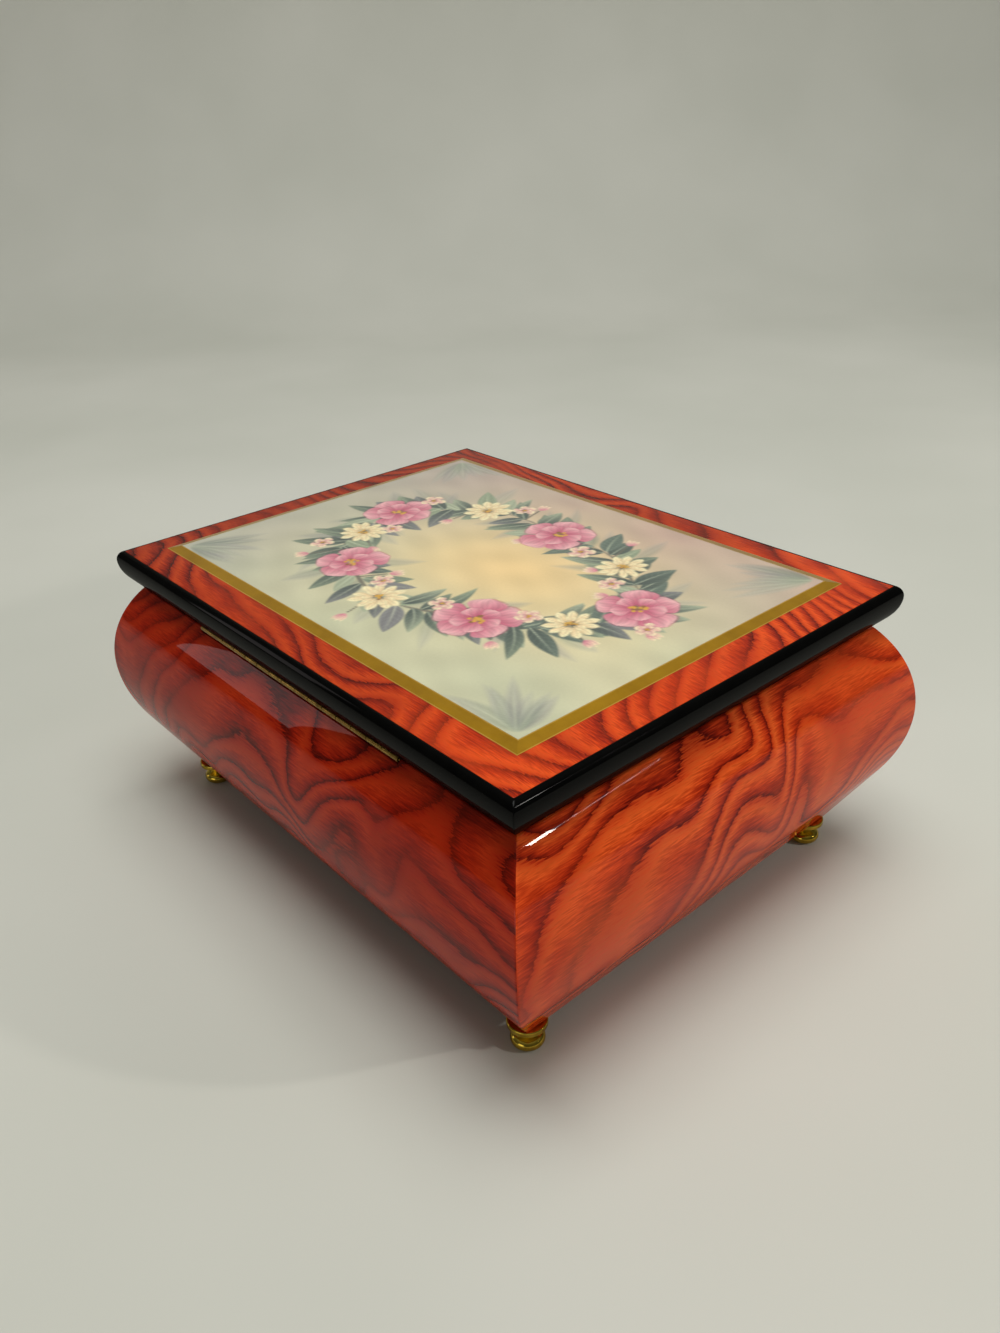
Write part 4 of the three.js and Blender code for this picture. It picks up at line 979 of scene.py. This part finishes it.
def easeRod(rod, width, segments):
    applyModifier(rod, "BEVEL", width=width * mm, segments=segments, limit_method="ANGLE",
                  angle_limit=math.radians(hingeSize["easeDegrees"]))


def makeKnuckle(centre, length):
    size = hingeSize
    knuckle = hingeRod("knuckle", size["radius"], length, centre, sides=40, caps="NOTHING")
    applyModifier(knuckle, "SOLIDIFY", thickness=(size["radius"] - size["bore"]) * mm, offset=-1)
    easeRod(knuckle, size["knuckleEase"], segments=3)
    return knuckle


def makeScrew():  # a slotted head about the z axis
    shape, radius = screwShape, hingeSize["screwRadius"]
    low, high, slot = -hingeSize["screwDeep"], hingeSize["screwProud"], shape["slot"]
    screw = beginPiece("hingeScrew", bpy.ops.mesh.primitive_circle_add, vertices=shape["sides"],
                       radius=radius * mm, fill_type="NGON", location=(0, 0, low * mm))
    crown = shape["crown"] * (high - low)
    levels = [(radius, radius, low), (radius, radius, high - crown)]
    for share, below in (shape["shoulder"], shape["face"]):
        levels.append((radius * share, radius * share, high - crown * below))
    stackLevels(levels)
    closeShell()
    objectMode()
    cutWithBlock(screw, (-slot / 2, -radius * 2, high - (high - low) * shape["slotDepth"]),
                 (slot / 2, radius * 2, high + 1))
    shadeByAngle(screw, degrees=35)
    return screw


def makeHingeLeaf(name, parity, low, body, node, screwFace):
    size, shape = hingeSize, screwShape
    pitch = size["length"] / size["knuckles"]
    half = size["length"] / 2
    high = low + size["thickness"]
    pieces = [softBlock("leaf", (-half, size["leafBack"], low), (half, size["leafFront"], high),
                        size["leafEase"])]
    for i in range(parity, size["knuckles"], 2):
        centre = -half + (i + 0.5) * pitch
        reach = (pitch - size["gap"]) / 2
        pieces.append(makeKnuckle(centre, 2 * reach))
        pieces.append(softBlock("tab", (centre - reach, size["leafFront"] - size["tabLap"], low),
                                (centre + reach, size["tabEnd"], high), size["tabEase"]))
    leaf = joinPieces(name, pieces)
    shadeByAngle(leaf, degrees=40)
    settle(leaf, "hingeBrass", body, "polished_brass", node)
    screw = makeScrew()
    if screwFace < 0:
        bpy.ops.transform.rotate(value=math.pi, orient_axis="X", center_override=(0, 0, 0))
    face = high if screwFace > 0 else low
    screws = []
    for i in range(-shape["eachSide"], shape["eachSide"] + 1):
        copy = copyPiece(screw, "hingeScrew", (i * size["screwPitch"], size["screwY"], face))
        bpy.ops.transform.rotate(value=shape["nextTurn"] * i + shape["firstTurn"], orient_axis="Z",
                                 center_override=copy.location)
        screws.append(copy)
    bpy.data.objects.remove(screw)
    joined = joinPieces(name + "Screws", screws)
    settle(joined, "hingeBrass", body, "polished_brass")


def makePin():
    size = hingeSize
    pin = hingeRod("hingePin", size["pin"], size["length"] + 2 * size["gap"], 0, sides=32, caps="NGON")
    easeRod(pin, size["pinEase"], segments=5)
    shadeByAngle(pin, degrees=40)
    settle(pin, "hingeBrass", "case", "polished_brass", "hinge_pin")


def makeHinge():
    size = hingeSize
    caseLow = size["z"] - size["clearance"] - size["thickness"]
    makeHingeLeaf("hingeLeafCase", 0, caseLow, "case", "hinge_leaf_case", 1)
    makeHingeLeaf("hingeLeafLid", 1, size["z"] + size["clearance"], "lid", "hinge_leaf_lid", -1)
    makePin()
    print("hinge made")


makeHinge()


# Inside of the case

bodies = frame["record"]["behaviour"]["bodies"]
nodeBody = {node: body for body, members in bodies.items() for node in members}


def copyNode(node, name):  # an own copy of a node's mesh, its loose triangles merged
    piece = bpy.data.objects.new(name, frame["nodes"][node].data.copy())
    piece.data.name = name
    piece.data.materials.clear()
    bpy.context.scene.collection.objects.link(piece)
    makeActive(piece)
    editMode()
    selectAll()
    bpy.ops.mesh.remove_doubles(threshold=1e-6)
    selectAll()
    bpy.ops.mesh.dissolve_limited(angle_limit=math.radians(1))
    objectMode()
    return piece


def easeEdges(piece, width, segments=2, degrees=40):
    makeActive(piece)
    applyModifier(piece, "BEVEL", width=width * mm, segments=segments, limit_method="ANGLE",
                  angle_limit=math.radians(degrees))
    shadeByAngle(piece, degrees)


fittings = {  # node: piece name, finish, slot, edge ease in mm, bevel segments
    "bottom_panel": ("bottomBoard", "wood", "plain_wood", 0.35, 3),
    "cover_ledge_back": ("coverLedgeBack", "wood", "plain_wood", 0.3, 2),
    "cover_ledge_front": ("coverLedgeFront", "wood", "plain_wood", 0.3, 2),
    "ring_ledge_back": ("ringLedgeBack", "wood", "plain_wood", 0.3, 2),
    "ring_ledge_front": ("ringLedgeFront", "wood", "plain_wood", 0.3, 2),
    "ring_floor": ("ringFloor", "wood", "plain_wood", 0.3, 2),
    "divider_main": ("velvetDivider", "velvet", "velvet", 1.2, 5),
    "divider_cross": ("velvetCrossDivider", "velvet", "velvet", 1.2, 5),
    "lining_front": ("liningFront", "velvet", "velvet", 0.5, 4),
    "lining_back": ("liningBack", "velvet", "velvet", 0.5, 4),
    "lining_left": ("liningLeft", "velvet", "velvet", 0.5, 4),
    "lining_divider": ("liningDivider", "velvet", "velvet", 0.5, 4),
    "movement_cover": ("clearCover", "clear", "clear_acrylic", 0.25, 3),
}

movementParts = {  # the same columns
    "bedplate": ("castBedplate", "cast", "cast_base", 0.45, 3),
    "comb": ("tunedComb", "combSteel", "steel", 0.06, 2),
    "bearing_post_left": ("bearingPostLeft", "steel", "steel", 0.15, 2),
    "bearing_post_right": ("bearingPostRight", "steel", "steel", 0.15, 2),
    "governor_bracket": ("governorBracket", "steel", "steel", 0.12, 2),
    "stop_guide": ("stopGuide", "brass", "polished_brass", 0.12, 2),
    "spring_barrel": ("springBarrel", "drumBrass", "polished_brass", 0.1, 2),
    "winding_arbor": ("windingArbor", "steel", "steel", 0.2, 3),
    "winding_key": ("windingKey", "brass", "polished_brass", 0.25, 3),
    "pinned_cylinder": ("pinnedCylinder", "drumBrass", "polished_brass", 0.05, 2),
    "drive_pinion": ("drivePinion", "steel", "steel", 0.05, 2),
    "cylinder_gear": ("cylinderGear", "brass", "polished_brass", 0.05, 2),
    "governor_arbor": ("governorArbor", "steel", "steel", 0.05, 2),
    "worm_wheel": ("wormWheel", "brass", "polished_brass", 0.05, 2),
    "worm_shaft": ("wormShaft", "steel", "steel", 0.04, 2),
    "fan": ("governorFan", "brass", "polished_brass", 0.08, 2),
    "stop_rod": ("stopRod", "steel", "steel", 0.15, 3),
}
combScrewSize = {"halfSlot": 0.25, "slotDepth": 0.45, "past": 1, "ease": 0.08}


def makeFromNodes(rows):
    for node, (name, finish, slotName, width, segments) in rows.items():
        piece = copyNode(node, name)
        easeEdges(piece, width, segments)
        settle(piece, finish, nodeBody[node], slotName, node)


def makeCombScrews():
    size = combScrewSize
    for i in (1, 2):
        node = "comb_screw_%d" % i
        low, high = (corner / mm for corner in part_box(node))
        screw = copyNode(node, "combScrew.%d" % i)
        middle = (low + high) / 2
        cutWithBlock(screw, (middle.x - size["halfSlot"], low.y - size["past"], high.z - size["slotDepth"]),
                     (middle.x + size["halfSlot"], high.y + size["past"], high.z + size["past"]))
        easeEdges(screw, size["ease"])
        settle(screw, "brass", "case", "polished_brass", node)


makeFromNodes(fittings)
makeFromNodes(movementParts)
makeCombScrews()
print("fittings and movement made")


# Padded pieces, blown up as cloth at ten times their size, where the solver is steady

padSize = {
    "frames": 20, "enlarge": 10, "pressure": 4, "easeSteps": 4,
    "floorStart": 3.1, "floorInset": 0.1, "floorEase": 0.15, "floorVoxel": 1.9, "floorCap": 1.5,
    "floorProud": 0.6, "heldRim": 2.2, "drawnIn": 1.6, "spread": 3.0,
    "lidStart": 1.6, "lidInset": 0.7, "lidEase": 0.55, "lidVoxel": 1.5, "lidCap": 0.78,
    "rollVoxel": 1.1, "rollCap": 0.45,
}


def scaleAll(factor):
    bpy.ops.transform.resize(value=(factor,) * 3, center_override=(0, 0, 0))
    applyPlace()


def swellCloth(piece, voxel, cap):  # sizes in mm
    makeActive(piece)
    grow = padSize["enlarge"]
    scaleAll(grow)
    applyModifier(piece, "REMESH", mode="VOXEL", voxel_size=voxel * grow * mm)
    start = pointsOf(piece)
    bpy.ops.object.modifier_add(type="CLOTH")
    cloth = piece.modifiers[-1]
    cloth.settings.use_pressure = True
    cloth.settings.uniform_pressure_force = padSize["pressure"]
    cloth.settings.effector_weights.gravity = 0
    cloth.point_cache.frame_end = padSize["frames"]
    for step in range(1, padSize["frames"] + 1):
        bpy.context.scene.frame_set(step)
    bpy.ops.object.modifier_apply(modifier=cloth.name)
    bpy.context.scene.frame_set(1)
    move = pointsOf(piece) - start
    reach = np.linalg.norm(move, axis=1, keepdims=True) + 1e-9
    setPoints(piece, start + move * np.minimum(1, cap * grow * mm / reach))
    scaleAll(1 / grow)
    print(piece.name, "swelled by up to", round(float(reach.max()) / grow / mm, 2), "mm, held to", cap, "mm")


def holdRim(points, low, high, height):  # the drawn-in rim, spread out again and held under the linings
    spread, drawnIn = padSize["spread"], padSize["drawnIn"]
    stretch = spread / (spread - drawnIn)
    for axis in (0, 1):
        for edge, inward in ((low[axis], 1), (high[axis], -1)):
            inset = (points[:, axis] - edge) * inward
            moved = edge + inward * np.maximum(inset - drawnIn, 0) * stretch
            points[:, axis] = np.where(inset < spread, moved, points[:, axis])
    inset = np.minimum(points - low, high - points)[:, :2].min(axis=1)
    points[(inset < padSize["heldRim"]) & (points[:, 2] > (low[2] + height) / 2), 2] = height


def fitPad(piece, low, high, rimHeight=None):  # flat on what it rests on, and clear of its neighbours
    points = np.clip(pointsOf(piece) / mm, low, high)
    if rimHeight is not None:
        holdRim(points, low, high, rimHeight)
    setPoints(piece, points * mm)
    piece.data.update()
    makeActive(piece)
    applyModifier(piece, "SUBSURF", levels=1, render_levels=1)
    bpy.ops.object.shade_smooth()


def makeFloorPad():
    size = padSize
    low, high = (list(corner / mm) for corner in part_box("floor_pad"))
    inset = size["floorInset"]
    pad = softBlock("floorPad", (low[0] + inset, low[1] + inset, low[2]),
                    (high[0] - inset, high[1] - inset, low[2] + size["floorStart"]), size["floorEase"],
                    size["easeSteps"])
    swellCloth(pad, size["floorVoxel"], size["floorCap"])
    fitPad(pad, low, (high[0], high[1], high[2] + size["floorProud"]), high[2])
    settle(pad, "velvet", "case", "velvet", "floor_pad")


def makeLidPad():
    size = padSize
    low, high = (list(corner / mm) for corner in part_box("lid_lining"))
    inset = size["lidInset"]
    pad = softBlock("lidPad", (low[0] + inset, low[1] + inset, high[2] - size["lidStart"]),
                    (high[0] - inset, high[1] - inset, high[2]), size["lidEase"], size["easeSteps"])
    swellCloth(pad, size["lidVoxel"], size["lidCap"])
    fitPad(pad, low, high)
    settle(pad, "velvet", "lid", "velvet", "lid_lining")


rollSize = {
    "count": 5, "around": 48, "along": 26, "sideFullness": 0.55, "crownFullness": 0.7, "inset": 0.3,
    "endDraw": 0.45, "endPower": 6, "tipDraw": 0.25, "tipPower": 40, "leastDraw": 0.05,
}


def power(value, fullness):
    return math.copysign(abs(value) ** fullness, value)


def rollDraw(t):  # how far the section is drawn in, from the middle at 0 to the ends at -1 and 1
    size = rollSize
    drawn = math.sqrt(1 - size["endDraw"] * abs(t) ** size["endPower"])
    return max(drawn * (1 - size["tipDraw"] * abs(t) ** size["tipPower"]), size["leastDraw"])


def makeRingRolls():
    size = rollSize
    low, high = (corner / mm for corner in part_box("ring_roll_1"))
    middle = (low + high) / 2
    halfX, halfY, halfZ = ((high - low) / 2 - Vector((size["inset"],) * 3))
    roll = beginPiece("ringRoll", bpy.ops.mesh.primitive_circle_add, vertices=size["around"], radius=mm,
                      fill_type="NGON", location=(0, 0, 0), rotation=(0, math.pi / 2, 0))
    objectMode()
    applyPlace()
    for point in roll.data.vertices:  # section: a rounded bar with a crowned top
        y, z = power(point.co.y / mm, size["sideFullness"]), power(point.co.z / mm, size["crownFullness"])
        point.co = (0, halfY * y * mm, halfZ * z * mm)
    editMode()
    selectAll()
    ends = [math.sin(math.pi / 2 * (2 * i / size["along"] - 1)) for i in range(size["along"] + 1)]
    draws = [rollDraw(t) for t in ends]
    bpy.ops.transform.resize(value=(1, draws[0], draws[0]), center_override=(0, 0, 0))
    bpy.ops.transform.translate(value=(-halfX * mm, 0, 0))
    for i in range(size["along"]):
        extrudeBy(((ends[i + 1] - ends[i]) * halfX * mm, 0, 0))
        share = draws[i + 1] / draws[i]
        bpy.ops.transform.resize(value=(1, share, share), center_override=(0, 0, 0))
    closeShell()
    objectMode()
    bpy.ops.transform.translate(value=middle * mm)
    applyPlace()
    swellCloth(roll, padSize["rollVoxel"], padSize["rollCap"])
    fitPad(roll, list(low), list(high))
    for i in range(1, size["count"] + 1):
        node = "ring_roll_%d" % i
        shift = (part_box(node)[0] / mm) - low
        copy = copyPiece(roll, "ringRoll.%d" % i, shift)
        settle(copy, "velvet", "case", "velvet", node)
    bpy.data.objects.remove(roll)


makeFloorPad()
makeLidPad()
makeRingRolls()
print("padded pieces made")


# Camera, floor and light

view = {
    "place": (-243.68, 199.89, 232.40), "target": (-54.04, 40.02, 95.0), "rollDegrees": -2.492,
    "focalPixels": 1066, "frameHeight": 1333, "sensor": 36,
}
stageSize = {  # in metres, the back away from the camera
    "forwardDegrees": -40.1, "back": 1.15, "front": 2.2, "left": 1.8, "right": 2.0, "height": 1.5,
    "bend": 0.35,
}
glint = (-0.098, 0.066, 0.079)  # the spot on the end wall where the key light shows
lamps = {  # place, target, size, watts, colour, seen in the gloss
    "keyLamp": ((-0.826, -0.469, 0.508), glint, (0.04, 0.03), 1.95, "#FFFBF4", False),
    "tubeEnd": ((-0.829, -0.461, 0.513), glint, (0.036, 0.028), 0.25, "#FFFBF4", True),
    "tubeLamp": ((-0.771, -0.54, 0.513), glint, (0.16, 0.004), 0.045, "#FFF0F6", True),
    "ceilingLamp": ((-0.08, 0.02, 1.6), (0, 0, 0), (1.1, 1.1), 20.5, "#FBFFFB", True),
    "cardLamp": ((0.627, 0.525, 0.244), (0.03, 0.07, 0.06), (0.14, 0.27), 0.17, "#FFF4F2", True),
    "fillLamp": ((-0.26, 1.48, 0.25), (0, 0.08, 0.04), (0.8, 0.4), 1.6, "#FFFBF6", True),
}
roomTones = [(0.0, "#3C3C39"), (1.0, "#9A9A95"), (0.52, "#454542"), (0.78, "#5A5A56")]  # from below to above


def aim(place, target):
    return (Vector(target) - Vector(place)).to_track_quat("-Z", "Y")


def placeCamera():
    place, target = Vector(view["place"]) * mm, Vector(view["target"]) * mm
    turn = aim(place, target) @ Quaternion((0, 0, 1), math.radians(view["rollDegrees"]))
    bpy.ops.object.camera_add(location=place, rotation=turn.to_euler())
    camera = bpy.context.object
    camera.data.sensor_width = view["sensor"]
    camera.data.lens = view["sensor"] * view["focalPixels"] / view["frameHeight"]
    camera.data.clip_start = 0.01
    bpy.context.scene.camera = camera


def makeStage():
    size = stageSize
    length, width = size["front"] + size["back"], size["left"] + size["right"]
    sweep = beginPiece("sweep", bpy.ops.mesh.primitive_plane_add, size=1,
                       location=((size["back"] - size["front"]) / 2, (size["left"] - size["right"]) / 2, 0))
    bpy.ops.transform.resize(value=(length, width, 1))
    pick(sweep, "edges", lambda e: all(v.co.x > 0 for v in e.verts))
    extrudeBy((0, 0, size["height"]))
    pick(sweep, "edges", lambda e: all(v.co.x > 0 and v.co.z < 0.01 for v in e.verts))
    bpy.ops.mesh.bevel(offset=size["bend"], segments=24, profile=0.5, affect="EDGES")
    objectMode()
    makeActive(sweep)
    applyPlace()
    bpy.ops.transform.rotate(value=-math.radians(size["forwardDegrees"]), orient_axis="Z",
                             center_override=(0, 0, 0))
    applyPlace()
    bpy.ops.object.shade_smooth_by_angle(angle=math.radians(30))
    sweep.data.materials.append(finishes["paper"])


def areaLamp(name, place, target, size, watts, colour, mirrored):
    bpy.ops.object.light_add(type="AREA", location=place, rotation=aim(place, target).to_euler())
    lamp = bpy.context.object
    lamp.name = name
    lamp.data.shape = "RECTANGLE"
    lamp.data.size, lamp.data.size_y = size
    lamp.data.energy = watts
    lamp.data.color = linear(colour)[:3]
    lamp.visible_camera = False
    lamp.visible_glossy = mirrored


def makeLight():
    for name, row in lamps.items():
        areaLamp(name, *row)
    world = bpy.data.worlds.new("room")
    bpy.context.scene.world = world
    world.use_nodes = True
    tree = world.node_tree
    direction = addNode(tree, "TexCoord").outputs["Generated"]
    height = addNode(tree, "SeparateXYZ", {}, {"Vector": direction}).outputs["Z"]
    level = addNode(tree, "MapRange", {"From Min": -1.0, "From Max": 1.0}, {"Value": height}).outputs[0]
    sky = addNode(tree, "ValToRGB", {}, {"Fac": level}, stops=roomTones)
    background = tree.nodes["Background"]
    tree.links.new(sky.outputs[0], background.inputs["Color"])
    background.inputs["Strength"].default_value = 1.0


placeCamera()
makeStage()
makeLight()
bpy.context.scene.view_settings.view_transform = "Standard"
print("camera, floor and light set")
